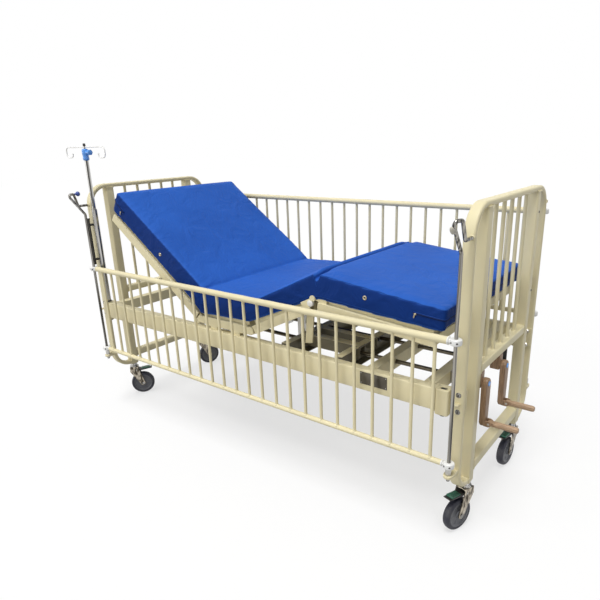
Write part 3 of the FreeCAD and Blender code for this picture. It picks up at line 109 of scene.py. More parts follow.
class Tree:
    """Writes the nodes of one shader tree or group."""

    def __init__(self, tree: bpy.types.NodeTree) -> None:
        """Take an empty tree.

        Args:
            tree: the node tree to write into.
        """
        self.tree = tree
        tree.nodes.clear()

    def node(self, kind: str, inputs: dict[Any, Any] | None = None, **settings: Any) -> bpy.types.Node:
        """Add a node, set its properties and fill or link its inputs.

        Args:
            kind: the node's type name.
            inputs: values or output sockets by input name or index.
            settings: the node's own properties.

        Returns:
            The new node.
        """
        made = self.tree.nodes.new(kind)
        for name, value in settings.items():
            setattr(made, name, value)
        for key, value in (inputs or {}).items():
            if isinstance(value, bpy.types.NodeSocket):
                self.tree.links.new(value, made.inputs[key])
            else:
                made.inputs[key].default_value = value
        return made

    def math(self, operation: str, *values: Any) -> bpy.types.NodeSocket:
        """Return the result of a math node on numbers or sockets."""
        return self.node("ShaderNodeMath", dict(enumerate(values)), operation=operation).outputs[0]

    def mix(self, share: Any, first: Any, second: Any) -> bpy.types.NodeSocket:
        """Return a colour between two, by a share."""
        return self.node("ShaderNodeMix", {0: share, 6: first, 7: second}, data_type="RGBA").outputs[2]

    def ramp(self, value: Any, low: float, high: float) -> bpy.types.NodeSocket:
        """Return a value stretched so that low gives 0 and high gives 1."""
        return self.node("ShaderNodeMapRange", {0: value, 1: low, 2: high}).outputs[0]

    def place(self) -> bpy.types.NodeSocket:
        """Return the shaded point in the object's own space."""
        return self.node("ShaderNodeTexCoord").outputs["Object"]

    def facing(self) -> bpy.types.NodeSocket:
        """Return the normal of the shaded point."""
        return self.node("ShaderNodeNewGeometry").outputs["Normal"]

    def upward(self) -> bpy.types.NodeSocket:
        """Return how far the shaded face looks up, from -1 to 1."""
        return self.node("ShaderNodeSeparateXYZ", {0: self.facing()}).outputs[2]

    def noise(self, place: Any, scale: Any, detail: Any, **more: Any) -> bpy.types.NodeSocket:
        """Return noise of a scale and detail at a place."""
        inputs = {"Vector": place, "Scale": scale, "Detail": detail, **more}
        return self.node("ShaderNodeTexNoise", inputs).outputs[0]

    def fill(self, node: bpy.types.Node, **sockets: bpy.types.NodeSocket) -> bpy.types.NodeTree:
        """Link sockets to a node's inputs by their names, and return the tree."""
        for name, socket in sockets.items():
            self.tree.links.new(socket, node.inputs[name])
        return self.tree

    def close(self, shader: bpy.types.Node, kind: str = "ShaderNodeOutputMaterial") -> None:
        """End the tree in an output node that takes a shader."""
        self.node(kind, {0: shader.outputs[0]})


def fresh_material(name: str) -> tuple[bpy.types.Material, Tree]:
    """Return a new material and the writer of its emptied tree."""
    material = bpy.data.materials.new(name)
    material.use_nodes = True
    return material, Tree(material.node_tree)


def opaque(colour: Iterable[float]) -> tuple[float, ...]:
    """Return a colour with full opacity."""
    return (*colour, 1.0)


class Effect(Enum):
    """The shader groups that several finishes share."""

    EDGES = "soft_edges"
    GRAIN = "fine_grain"
    WEAVE = "plain_weave"
    DUST = "settled_dust"
    STREAKS = "stretched_streaks"


class Effects:
    """Builds each shared shader group once."""

    def __init__(self) -> None:
        """Build the five groups."""
        self.groups = {Effect.EDGES: self.edges(), Effect.GRAIN: self.grain(), Effect.WEAVE: self.weave(),
                       Effect.DUST: self.dust(), Effect.STREAKS: self.streaks()}

    @staticmethod
    def start(effect: Effect, inputs: dict[str, Any], outputs: dict[str, str]) -> tuple:
        """Make a group with its sockets.

        Args:
            effect: the group's name.
            inputs: inputs and their defaults, each a number or a vector.
            outputs: output names and socket types.

        Returns:
            The tree writer, the outputs of the group's input node and its output node.
        """
        group = bpy.data.node_groups.new(effect.value, "ShaderNodeTree")
        for name, value in inputs.items():
            kind = "NodeSocketVector" if isinstance(value, tuple) else "NodeSocketFloat"
            socket = group.interface.new_socket(name, in_out="INPUT", socket_type=kind)
            socket.default_value = value
        for name, kind in outputs.items():
            group.interface.new_socket(name, in_out="OUTPUT", socket_type=kind)
        tree = Tree(group)
        return tree, tree.node("NodeGroupInput").outputs, tree.node("NodeGroupOutput")

    def edges(self) -> bpy.types.NodeTree:
        """Rounded normals on hard edges, and a mask of those edges."""
        tree, given, result = self.start(Effect.EDGES, {"Radius": 0.002},
                                         {"Normal": "NodeSocketVector", "Edge": "NodeSocketFloat"})
        bevel = tree.node("ShaderNodeBevel", {"Radius": given["Radius"]}, samples=4).outputs[0]
        true = tree.node("ShaderNodeNewGeometry").outputs["True Normal"]
        dot = tree.node("ShaderNodeVectorMath", {0: bevel, 1: true}, operation="DOT_PRODUCT")
        return tree.fill(result, Normal=bevel, Edge=tree.ramp(dot.outputs["Value"], 0.995, 0.85))

    def grain(self) -> bpy.types.NodeTree:
        """Fine height noise and broad patches, both in the object's space."""
        tree, given, result = self.start(Effect.GRAIN, {"Fine": 400.0, "Broad": 6.0},
                                         {"Height": "NodeSocketFloat", "Patch": "NodeSocketFloat"})
        place = tree.place()
        fine = tree.noise(place, given["Fine"], 3.0)
        broad = tree.noise(place, given["Broad"], 4.0)
        return tree.fill(result, Height=fine, Patch=tree.ramp(broad, 0.3, 0.7))

    def weave(self) -> bpy.types.NodeTree:
        """A plain weave that lies on every face, whichever way it looks."""
        tree, given, result = self.start(Effect.WEAVE, {"Threads": 1600.0},
                                         {"Height": "NodeSocketFloat", "Fold": "NodeSocketFloat"})
        place = tree.place()
        scaled = tree.node("ShaderNodeVectorMath", {0: place, "Scale": given["Threads"]},
                           operation="SCALE").outputs[0]
        waves = tree.node("ShaderNodeVectorMath", {0: scaled}, operation="SINE").outputs[0]
        x, y, z = tree.node("ShaderNodeSeparateXYZ", {0: waves}).outputs
        pairs = tree.node("ShaderNodeCombineXYZ", {0: tree.math("MULTIPLY", y, z),
                                                   1: tree.math("MULTIPLY", x, z),
                                                   2: tree.math("MULTIPLY", x, y)}).outputs[0]
        facing = tree.node("ShaderNodeVectorMath", {0: tree.facing()}, operation="ABSOLUTE").outputs[0]
        height = tree.node("ShaderNodeVectorMath", {0: pairs, 1: facing}, operation="DOT_PRODUCT")
        folds = tree.noise(place, 9.0, 4.0, Roughness=0.5, Distortion=1.6)
        return tree.fill(result, Height=height.outputs["Value"], Fold=folds)

    def dust(self) -> bpy.types.NodeTree:
        """A mask of patchy dust, heavier on faces that look up."""
        tree, given, result = self.start(Effect.DUST, {"Amount": 0.3}, {"Mask": "NodeSocketFloat"})
        cloud = tree.noise(tree.place(), 18.0, 6.0)
        level = tree.ramp(tree.upward(), -1.0, 1.0)
        patchy = tree.math("MULTIPLY", tree.ramp(cloud, 0.45, 0.7), level)
        return tree.fill(result, Mask=tree.math("MULTIPLY", patchy, given["Amount"]))

    def streaks(self) -> bpy.types.NodeTree:
        """Noise in the object's space, drawn out along its least stretched axis."""
        tree, given, result = self.start(
            Effect.STREAKS, {"Stretch": (60.0, 60.0, 5.0), "Scale": 1.0, "Detail": 2.0, "Roughness": 0.5,
                             "Distortion": 0.0}, {"Streak": "NodeSocketFloat"})
        drawn = tree.node("ShaderNodeVectorMath", {0: tree.place(), 1: given["Stretch"]},
                          operation="MULTIPLY").outputs[0]
        streak = tree.noise(drawn, given["Scale"], given["Detail"], Roughness=given["Roughness"],
                            Distortion=given["Distortion"])
        return tree.fill(result, Streak=streak)

    def use(self, tree: Tree, effect: Effect, **values: Any) -> dict[str, bpy.types.NodeSocket]:
        """Place a group in a material.

        Args:
            tree: the material's tree.
            effect: which group.
            values: its inputs.

        Returns:
            The group node's outputs.
        """
        made = tree.node("ShaderNodeGroup", node_tree=self.groups[effect])
        for name, value in values.items():
            made.inputs[name].default_value = value
        return made.outputs


@dataclass(frozen=True)
class Look:
    """What every finish shares: its name, and how its material is started."""

    name: str

    def build(self, effects: Effects) -> bpy.types.Material:
        """Make the material.

        Args:
            effects: the shared groups.

        Returns:
            The material.
        """
        material, tree = fresh_material(self.name)
        self.write(tree, effects)
        return material

    def write(self, tree: Tree, effects: Effects) -> None:
        """Write the material's nodes, and end them in its output."""
        raise NotImplementedError


@dataclass(frozen=True)
class Finish(Look):
    """One finish: its colours in linear light and how rough and metallic it is."""

    colour: tuple[float, float, float]
    slot: Slot
    rubbed_and_highlit_tone: tuple[float, float, float] | None = None
    roughness: float = 0.4
    metallic: float = 0.0
    coat: float = 0.0
    specular: float = 0.5
    edge: float = 0.0015
    bump: float = 0.05
    fine: float = 400.0
    broad: float = 6.0
    vary: float = 0.08
    dust: float = 0.15

    def write(self, tree: Tree, effects: Effects) -> None:
        """Write the finish."""
        grain = effects.use(tree, Effect.GRAIN, Fine=self.fine, Broad=self.broad)
        edges = effects.use(tree, Effect.EDGES, Radius=self.edge)
        dust = effects.use(tree, Effect.DUST, Amount=self.dust)
        shade = [value * (1 - 2 * self.vary) for value in self.colour]
        colour = tree.mix(grain["Patch"], opaque(shade), opaque(self.colour))
        # Edges lighten towards this colour: rubbed wear on the steels, and a painted highlight on the
        # enamels' rounded edges.
        if self.rubbed_and_highlit_tone:
            rubbed_and_highlit_share = tree.math("MULTIPLY", edges["Edge"], grain["Patch"])
            colour = tree.mix(tree.math("MULTIPLY", rubbed_and_highlit_share, 0.6), colour, opaque(self.rubbed_and_highlit_tone))
        colour = tree.mix(dust["Mask"], colour, opaque(DUST_TONE))
        rough = tree.math("MULTIPLY_ADD", grain["Patch"], 0.10, self.roughness - 0.05)
        rough = tree.math("ADD", rough, dust["Mask"])
        bump = tree.node("ShaderNodeBump", {"Strength": self.bump, "Distance": 0.0004,
                                            "Height": grain["Height"], "Normal": edges["Normal"]})
        tree.close(tree.node("ShaderNodeBsdfPrincipled", {
            "Base Color": colour, "Roughness": rough, "Metallic": self.metallic,
            "Specular IOR Level": self.specular, "Coat Weight": self.coat, "Coat Roughness": 0.12,
            "Normal": bump.outputs[0]}))


@dataclass(frozen=True)
class CoverFinish(Look):
    """The coated blue cloth of the mattress cover, with its weave and creases, and painted shade on its
    upright sides.
    """

    colour: tuple[float, float, float]
    deep: tuple[float, float, float]
    # the darker blue painted on the upright sides as shade
    painted_shade_side: tuple[float, float, float]
    slot: Slot = Slot.COVER
    roughness: float = 0.55
    specular: float = 0.09
    folds: float = 0.85

    def write(self, tree: Tree, effects: Effects) -> None:
        """Write the cloth."""
        weave = effects.use(tree, Effect.WEAVE, Threads=3200.0)
        grain = effects.use(tree, Effect.GRAIN, Fine=900.0, Broad=2.5)
        share = tree.math("MULTIPLY_ADD", weave["Height"], 0.12, grain["Patch"])
        colour = tree.mix(share, opaque(self.deep), opaque(self.colour))
        # Painted shade: faces that look sideways take the darker side blue, whatever the light.
        panel = tree.ramp(tree.math("ABSOLUTE", tree.upward()), 0.30, 0.62)
        colour = tree.mix(panel, opaque(self.painted_shade_side), colour)
        folds = tree.node("ShaderNodeBump", {"Strength": self.folds, "Distance": 0.011,
                                             "Height": weave["Fold"]})
        threads = tree.node("ShaderNodeBump", {"Strength": 0.12, "Distance": 0.0003,
                                               "Height": weave["Height"], "Normal": folds.outputs[0]})
        rough = tree.math("MULTIPLY_ADD", grain["Patch"], 0.08, self.roughness)
        tree.close(tree.node("ShaderNodeBsdfPrincipled", {
            "Base Color": colour, "Roughness": rough, "Specular IOR Level": self.specular,
            "Normal": threads.outputs[0]}))


@dataclass(frozen=True)
class StreakFinish(Look):
    """Tan moulded plastic with long grain-like streaks along one axis."""

    colour: tuple[float, float, float]
    deep: tuple[float, float, float]
    slot: Slot = Slot.TAN
    stretch: tuple[float, float, float] = (60.0, 60.0, 5.0)

    def write(self, tree: Tree, effects: Effects) -> None:
        """Write the streaked plastic."""
        streak = effects.use(tree, Effect.STREAKS, Stretch=self.stretch, Scale=4.0, Detail=8.0,
                             Roughness=0.65, Distortion=0.6)["Streak"]
        edges = effects.use(tree, Effect.EDGES, Radius=0.002)
        share = tree.ramp(streak, 0.3, 0.7)
        colour = tree.mix(share, opaque(self.deep), opaque(self.colour))
        bump = tree.node("ShaderNodeBump", {"Strength": 0.15, "Distance": 0.0005, "Height": streak,
                                            "Normal": edges["Normal"]})
        rough = tree.math("MULTIPLY_ADD", share, 0.15, 0.38)
        tree.close(tree.node("ShaderNodeBsdfPrincipled", {"Base Color": colour, "Roughness": rough,
                                                          "Normal": bump.outputs[0]}))


@dataclass(frozen=True)
class PlatedFinish(Look):
    """Polished plating with painted reflections: dark and bright streaks in its colour run along the tube.
    """

    bright: tuple[float, float, float]
    deep: tuple[float, float, float]
    slot: Slot = Slot.CHROME
    stretch: tuple[float, float, float] = (150.0, 150.0, 3.0)
    roughness: float = 0.16

    def write(self, tree: Tree, effects: Effects) -> None:
        """Write the plating."""
        streak = effects.use(tree, Effect.STREAKS, Stretch=self.stretch)["Streak"]
        edges = effects.use(tree, Effect.EDGES, Radius=0.0006)
        dust = effects.use(tree, Effect.DUST, Amount=0.06)
        # Painted reflection: the colour swings between the dark and bright tones along the streaks.
        colour = tree.mix(tree.ramp(streak, 0.38, 0.62), opaque(self.deep), opaque(self.bright))
        rough = tree.math("ADD", dust["Mask"], self.roughness)
        tree.close(tree.node("ShaderNodeBsdfPrincipled", {"Base Color": colour, "Roughness": rough,
                                                          "Metallic": 1.0, "Normal": edges["Normal"]}))


# The cream's lighter edge colour is a painted highlight along its rounded edges.
CREAM = Finish("cream_powder_coat", (0.800, 0.720, 0.462), Slot.CREAM, rubbed_and_highlit_tone=(0.88, 0.82, 0.62),
               roughness=0.42, specular=0.30, edge=0.0025, bump=0.08, fine=900.0, vary=0.035)
# The plated finishes carry painted reflections in their dark and bright streaks.
CHROME = PlatedFinish("bright_chrome", (0.60, 0.59, 0.57), (0.10, 0.097, 0.09))
ROD_CHROME = PlatedFinish("rod_chrome", (0.36, 0.345, 0.315), (0.045, 0.042, 0.038))
ZINC = Finish("zinc_plate", (0.50, 0.49, 0.46), Slot.ZINC, roughness=0.34, metallic=1.0, dust=0.2)
DARK = Finish("dark_oxide_steel", (0.055, 0.053, 0.050), Slot.DARK, rubbed_and_highlit_tone=(0.30, 0.29, 0.27),
              roughness=0.38, metallic=0.7)
SHAFT = Finish("oiled_shaft_steel", (0.120, 0.102, 0.070), Slot.ZINC, rubbed_and_highlit_tone=(0.25, 0.22, 0.18),
               roughness=0.35, metallic=0.85)
WHITE = Finish("white_nylon", (0.86, 0.86, 0.84), Slot.WHITE, roughness=0.3, coat=0.2, vary=0.02)
BLACK = Finish("black_moulded_plastic", (0.018, 0.018, 0.019), Slot.DARK, roughness=0.42)
CLAMP_BLUE = Finish("clear_blue_plastic", (0.075, 0.33, 0.86), Slot.BLUE, roughness=0.22, coat=0.4,
                    vary=0.03)
KNOB_BLUE = Finish("deep_blue_plastic", (0.030, 0.075, 0.36), Slot.KNOB, roughness=0.35)
KNOB_PALE = Finish("pale_grey_plastic", (0.62, 0.59, 0.50), Slot.KNOB, roughness=0.4)
TREAD = Finish("dark_tread", (0.012, 0.013, 0.026), Slot.WHEEL, roughness=0.55, edge=0.002, bump=0.2)
HUB = Finish("grey_hub_plastic", (0.118, 0.122, 0.140), Slot.WHEEL, roughness=0.42)
PEDAL_GREEN = Finish("green_pedal_pad", (0.010, 0.150, 0.085), Slot.PEDAL, roughness=0.35, coat=0.2)
BRONZE = PlatedFinish("bronze_painted_reflection_plate", (0.46, 0.41, 0.33), (0.055, 0.045, 0.032), Slot.BRONZE,
                      stretch=(90.0, 90.0, 40.0), roughness=0.20)
BRASS = Finish("brass_eyelet", (0.42, 0.36, 0.24), Slot.COVER, roughness=0.3, metallic=1.0)
# Painted shade: the lift guides' cream enamel darkened to the shade under the mattress.
PAINTED_GUIDE_SHADE = Finish("olive_painted_shade_enamel", (0.215, 0.190, 0.125), Slot.CREAM, rubbed_and_highlit_tone=(0.45, 0.40, 0.28),
               roughness=0.5)
PLATE_METAL = Finish("bare_rating_plate", (0.090, 0.078, 0.058), Slot.CREAM, roughness=0.35, metallic=0.6)
HOOK_WHITE = Finish("white_hook_wire", (0.93, 0.92, 0.89), Slot.ZINC, roughness=0.35, vary=0.02)
TAPE_BLUE = Finish("zip_tape_blue", (0.004, 0.016, 0.085), Slot.COVER, roughness=0.6, specular=0.1,
                   dust=0.0)
PIPING_BLUE = Finish("seam_thread_blue", (0.010, 0.055, 0.27), Slot.COVER, roughness=0.6,
                     specular=0.1, dust=0.0)
TAN = StreakFinish("tan_streaked_plastic", (0.43, 0.275, 0.160), (0.125, 0.070, 0.036),
                   stretch=(90.0, 90.0, 4.0))
TAN_LONG = StreakFinish("tan_streaked_handle", (0.62, 0.43, 0.27), (0.20, 0.115, 0.062),
                        stretch=(4.0, 90.0, 90.0))
# The cover's last colour is painted shade for its upright sides.
COVER = CoverFinish("royal_blue_cover", (0.027, 0.125, 0.53), (0.019, 0.094, 0.42),
                    (0.004, 0.031, 0.180))


class Palette:
    """Builds each finish once and hands out its material."""

    def __init__(self) -> None:
        """Start with the shared groups and no materials."""
        self.effects = Effects()
        self.made: dict[str, bpy.types.Material] = {}

    def material(self, finish: Look) -> bpy.types.Material:
        """Return a finish's material, built on first use.

        Args:
            finish: the finish wanted.

        Returns:
            Its material.
        """
        if finish.name not in self.made:
            self.made[finish.name] = finish.build(self.effects)
        return self.made[finish.name]


PALETTE = Palette()


# ------------------------------------------------------------------ mesh tools

def fillet(points: Sequence[Sequence[float]], radii: Sequence[float], step: float = 0.16) -> list[Vector]:
    """Round the inner points of a polyline with tangent arcs.

    Args:
        points: the corners of the route.
        radii: one arc radius for each inner point.
        step: the angle between two samples of an arc, in radians.

    Returns:
        The sampled route.
    """
    corners = [Vector(point) for point in points]
    route = [corners[0]]
    for before, corner, after, radius in zip(corners, corners[1:], corners[2:], radii):
        inward, outward = (before - corner).normalized(), (after - corner).normalized()
        bend = math.pi - inward.angle(outward)
        if bend < 1e-3 or radius <= 0:
            route.append(corner)
            continue
        reach = radius * math.tan(bend / 2)
        centre = corner + (inward + outward).normalized() * (radius / math.cos(bend / 2))
        first = corner + inward * reach - centre
        axis = first.cross(corner + outward * reach - centre).normalized()
        count = max(3, int(bend / step) + 1)
        route += [centre + Matrix.Rotation(bend * i / count, 3, axis) @ first for i in range(count + 1)]
    return route + [corners[-1]]


def arc(wide: float, tall: float, start: float, stop: float, count: int,
        middle: Sequence[float] = (0.0, 0.0)) -> list[tuple[float, float]]:
    """Return points along an arc of an ellipse, both ends included.

    Args:
        wide: its first half axis.
        tall: its second half axis.
        start: the first angle, in radians.
        stop: the last angle.
        count: the number of steps.
        middle: its centre.

    Returns:
        The points, one more than the steps.
    """
    angles = [start + (stop - start) * i / count for i in range(count + 1)]
    return [(middle[0] + wide * math.cos(a), middle[1] + tall * math.sin(a)) for a in angles]


def circle(radius: float, count: int = 20) -> list[tuple[float, float]]:
    """Return the points of a circle."""
    return arc(radius, radius, 0, 2 * math.pi, count)[:-1]


def mirrored(outline: Sequence[tuple[float, float]]) -> list[tuple[float, float]]:
    """Return the other half of an outline of (radius, height), in running order."""
    return [(radius, -height) for radius, height in reversed(outline)]


def rounded_rectangle(wide: float, tall: float, radius: float, count: int = 4) -> list[tuple[float, float]]:
    """Return a rectangle's outline with rounded corners.

    Args:
        wide: its first extent.
        tall: its second extent.
        radius: the corner radius.
        count: segments in each corner.

    Returns:
        The outline, counterclockwise.
    """
    outline = []
    for quarter, (sx, sy) in enumerate(((1, 1), (-1, 1), (-1, -1), (1, -1))):
        middle = (sx * (wide / 2 - radius), sy * (tall / 2 - radius))
        outline += arc(radius, radius, math.pi / 2 * quarter, math.pi / 2 * (quarter + 1), count, middle)
    return outline


def linked(name: str, data: Any) -> bpy.types.Object:
    """Return a new object in the scene that shows some data."""
    item = bpy.data.objects.new(name, data)
    bpy.context.scene.collection.objects.link(item)
    return item


def written(mesh: bmesh.types.BMesh, name: str) -> bpy.types.Mesh:
    """Write a mesh under construction to a new mesh, and free it."""
    data = bpy.data.meshes.new(name)
    mesh.to_mesh(data)
    mesh.free()
    return data


class Shape:
    """A mesh under construction, in metres."""

    def __init__(self) -> None:
        """Start empty."""
        self.mesh = bmesh.new()

    def ring(self, points: Iterable[Vector]) -> list[bmesh.types.BMVert]:
        """Add a ring of vertices."""
        return [self.mesh.verts.new(point) for point in points]

    def skin(self, rings: list[list[bmesh.types.BMVert]], caps: bool = True) -> None:
        """Join rings of equal length into a tube.

        Args:
            rings: the rings in order.
            caps: whether both ends are closed.
        """
        for first, second in zip(rings, rings[1:]):
            count = len(first)
            for i in range(count):
                j = (i + 1) % count
                self.mesh.faces.new((first[i], first[j], second[j], second[i]))
        if caps:
            self.mesh.faces.new(reversed(rings[0]))
            self.mesh.faces.new(rings[-1])

    def sweep(self, route: Sequence[Sequence[float]], outline: Sequence[tuple[float, float]],
              side: Vector) -> None:
        """Sweep an outline along a route.

        Args:
            route: the centre line.
            outline: points across the route, as (side, other) offsets.
            side: the outline's first direction at the start.
        """
        route = [Vector(point) for point in route]
        rings = []
        for i, point in enumerate(route):
            ahead = route[min(i + 1, len(route) - 1)] - point
            behind = point - route[max(i - 1, 0)]
            along = (ahead.normalized() + behind.normalized()).normalized()
            side = (side - along * side.dot(along)).normalized()
            other = along.cross(side)
            rings.append(self.ring(point + side * a + other * b for a, b in outline))
        self.skin(rings)

    def tube(self, route: Sequence[Sequence[float]], radius: float, count: int) -> None:
        """Sweep a round bar along a route.

        Args:
            route: its points.
            radius: the bar's radius.
            count: sides of the bar.
        """
        along = (Vector(route[1]) - Vector(route[0])).normalized()
        self.sweep(route, circle(radius, count), along.orthogonal().normalized())

    def turned(self, outline: Sequence[tuple[float, float]], base: Sequence[float], axis: Vector,
               count: int) -> list[list[bmesh.types.BMVert]]:
        """Add a ring of vertices about an axis for each (radius, height)."""
        axis = axis.normalized()
        side = axis.orthogonal().normalized()
        other = axis.cross(side)
        rings = []
        for radius, height in outline:
            centre = Vector(base) + axis * height
            rings.append(self.ring(centre + side * a + other * b
                                   for a, b in circle(max(radius, SMALLEST_RADIUS), count)))
        return rings

    def lathe(self, outline: Sequence[tuple[float, float]], base: Sequence[float], axis: Vector,
              count: int = 32) -> None:
        """Turn a half outline of (radius, height) about an axis.

        Args:
            outline: the half outline, from one end to the other.
            base: the point of height zero.
            axis: the axis direction.
            count: steps round the axis.
        """
        self.skin(self.turned(outline, base, axis, count))

    def band(self, outline: Sequence[tuple[float, float]], base: Sequence[float], axis: Vector,
             count: int = 32) -> None:
        """Turn a closed outline about an axis, as a ring with a hole; arguments as for lathe."""
        rings = self.turned(outline, base, axis, count)
        self.skin([*rings, rings[0]], caps=False)

    def lobed(self, stations: Iterable[tuple[float, float, float]], middle: Sequence[float], lobes: int,
              depth: float, sharp: int, count: int) -> None:
        """Sweep a circle with valleys between lobes along X.

        Args:
            stations: (distance along X, radius, share of the valleys' depth).
            middle: the point of distance zero.
            lobes: how many lobes go round.
            depth: the depth of a valley, as a share of the radius.
            sharp: the power that narrows the valleys.
            count: points round each circle.
        """
        rings = []
        for along, radius, share in stations:
            ring = []
            for i in range(count):
                angle = 2 * math.pi * i / count
                valley = (0.5 - 0.5 * math.cos(lobes * angle)) ** sharp
                spread = radius * (1 - depth * share * valley)
                ring.append(Vector((middle[0] + along, middle[1] + spread * math.cos(angle),
                                    middle[2] + spread * math.sin(angle))))
            rings.append(self.ring(ring))
        self.skin(rings)

    def block(self, middle: Sequence[float], extent: Sequence[float], radius: float = 0.002,
              turn: Matrix | None = None, steps: int = 3) -> None:
        """Add a box with rounded edges.

        Args:
            middle: its centre.
            extent: its three sizes.
            radius: the radius of its edges.
            turn: a rotation about its centre.
            steps: segments in each edge.
        """
        scale = Matrix.Diagonal((*extent, 1.0))
        spin = turn.to_4x4() if turn else Matrix.Identity(4)
        made = bmesh.ops.create_cube(self.mesh, size=1.0, matrix=Matrix.Translation(middle) @ spin @ scale)
        edges = list({edge for vertex in made["verts"] for edge in vertex.link_edges})
        if radius > 0:
            bmesh.ops.bevel(self.mesh, geom=edges, offset=radius, segments=steps, profile=0.5,
                            affect="EDGES", clamp_overlap=True)

    def prism(self, outline: Sequence[tuple[float, float]], thick: float, middle: Sequence[float],
              across: Vector, up: Vector, radius: float = 0.001, steps: int = 2) -> None:
        """Add a plate from an outline, with rounded rims.

        Args:
            outline: its corners in the across and up directions.
            thick: its thickness.
            middle: the outline's origin, at half thickness.
            across: the outline's first direction.
            up: the outline's second direction.
            radius: the radius of its rims.
            steps: segments in each rim.
        """
        normal = across.cross(up).normalized()
        rings = [self.ring(Vector(middle) + across * a + up * b + normal * (way * thick / 2)
                           for a, b in outline) for way in (-1, 1)]
        self.skin(rings)
        rims = [self.mesh.edges.get((ring[i], ring[(i + 1) % len(ring)]))
                for ring in rings for i in range(len(ring))]
        bmesh.ops.bevel(self.mesh, geom=rims, offset=radius, segments=steps, profile=0.5, affect="EDGES",
                        clamp_overlap=True)

    def hexagon(self, base: Sequence[float], axis: Vector, radius: float, tall: float) -> None:
        """Add a hexagonal nut or bolt head with a chamfered top.

        Args:
            base: the middle of its underside.
            axis: the way it stands.
            radius: its corner radius.
            tall: its height.
        """
        outline = [(radius, 0.0), (radius, 0.75 * tall), (0.84 * radius, tall)]
        self.lathe(outline, base, axis, count=6)

    def dome(self, base: Sequence[float], axis: Vector, radius: float, tall: float) -> None:
        """Add a domed bolt head on its washer.

        Args:
            base: the middle of its underside.
            axis: the way it stands.
            radius: the washer's radius.
            tall: its height.
        """
        top = arc(0.78 * radius, 0.75 * tall, 0, math.pi / 2, 6, (0, 0.25 * tall))
        self.lathe([(radius, 0.0), (radius, 0.2 * tall), (0.8 * radius, 0.25 * tall), *top],
                          base, axis, count=24)

    def piece(self, name: str, finish: Look, body: Body | str,
              replaces: Sequence[str] = ()) -> bpy.types.Object:
        """Finish the mesh as a named piece that rides on a body.

        Args:
            name: the piece's name.
            finish: its finish.
            body: the body that carries it.
            replaces: CAD nodes that it stands for.

        Returns:
            The new object.
        """
        bmesh.ops.recalc_face_normals(self.mesh, faces=self.mesh.faces)
        for edge in self.mesh.edges:
            edge.smooth = edge.calc_face_angle(0.0) < SHARP_ANGLE
        for face in self.mesh.faces:
            face.smooth = True
        return dress(linked(name, written(self.mesh, name)), finish, body, replaces)


def dress(item: bpy.types.Object, finish: Look, body: Body | str | None,
          replaces: Sequence[str] = ()) -> bpy.types.Object:
    """Give a piece its material, its body and the nodes it stands for.

    Args:
        item: the piece.
        finish: its finish.
        body: the body that it rides on, or None to leave it on none.
        replaces: CAD nodes that it stands for.

    Returns:
        The piece.
    """
    item.data.materials.clear()
    item.data.materials.append(PALETTE.material(finish))
    if body is not None:
        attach(item, body.value if isinstance(body, Body) else body)
    if replaces:
        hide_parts(*replaces)
    LOG.info("piece %s: %s", item.name, finish.name)
    return item


def paint(node: str, finish: Look) -> None:
    """Give a CAD node that stays in view a finish."""
    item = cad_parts[node]
    item.data.materials.clear()
    item.data.materials.append(PALETTE.material(finish))
    LOG.info("node %s: %s", node, finish.name)


# ------------------------------------------------------------------ end frames

def weld_ring(shape: Shape, base: Sequence[float], axis: Vector, radius: float) -> None:
    """Add the small fillet weld where a round bar meets its neighbour.

    Args:
        shape: the shape that takes it.
        base: the middle of the joint.
        axis: away from the neighbour.
        radius: the bar's radius.
    """
    outline = [(radius + 0.0032, -0.002), (radius + 0.0030, 0.0), (radius + 0.0012, 0.0014),
               (radius + 0.0003, 0.0040), (radius - 0.001, 0.0042)]
    shape.lathe(outline, base, axis, count=14)


def weld_loop(shape: Shape, loop: Sequence[Vector], normal: Vector, radius: float = 0.0018) -> None:
    """Lay a slightly lumpy weld bead along a closed loop.

    Args:
        shape: the shape that takes it.
        loop: the loop's corners.
        normal: the direction across the loop's plane.
        radius: the bead's mean radius.
    """
    points: list[Vector] = []
    for first, second in zip(loop, [*loop[1:], loop[0]]):
        count = max(1, int((second - first).length / 0.004))
        points += [first.lerp(second, i / count) for i in range(count)]
    rings = []
    for i, point in enumerate(points):
        along = (points[(i + 1) % len(points)] - points[i - 1]).normalized()
        other = along.cross(normal)
        swell = radius * (1 + 0.22 * math.sin(2.3 * i) + 0.1 * math.sin(5.1 * i))
        rings.append(shape.ring(point + normal * a + other * b for a, b in circle(swell, 7)))
    shape.skin([*rings, rings[0]], caps=False)


def framed(middle: Sequence[float], wide: float, tall: float, across: Vector, up: Vector) -> list[Vector]:
    """Return a rectangle's four corners round a middle point."""
    base = Vector(middle)
    return [base + across * (sx * wide / 2) + up * (sz * tall / 2)
            for sx, sz in ((1, 1), (-1, 1), (-1, -1), (1, -1))]


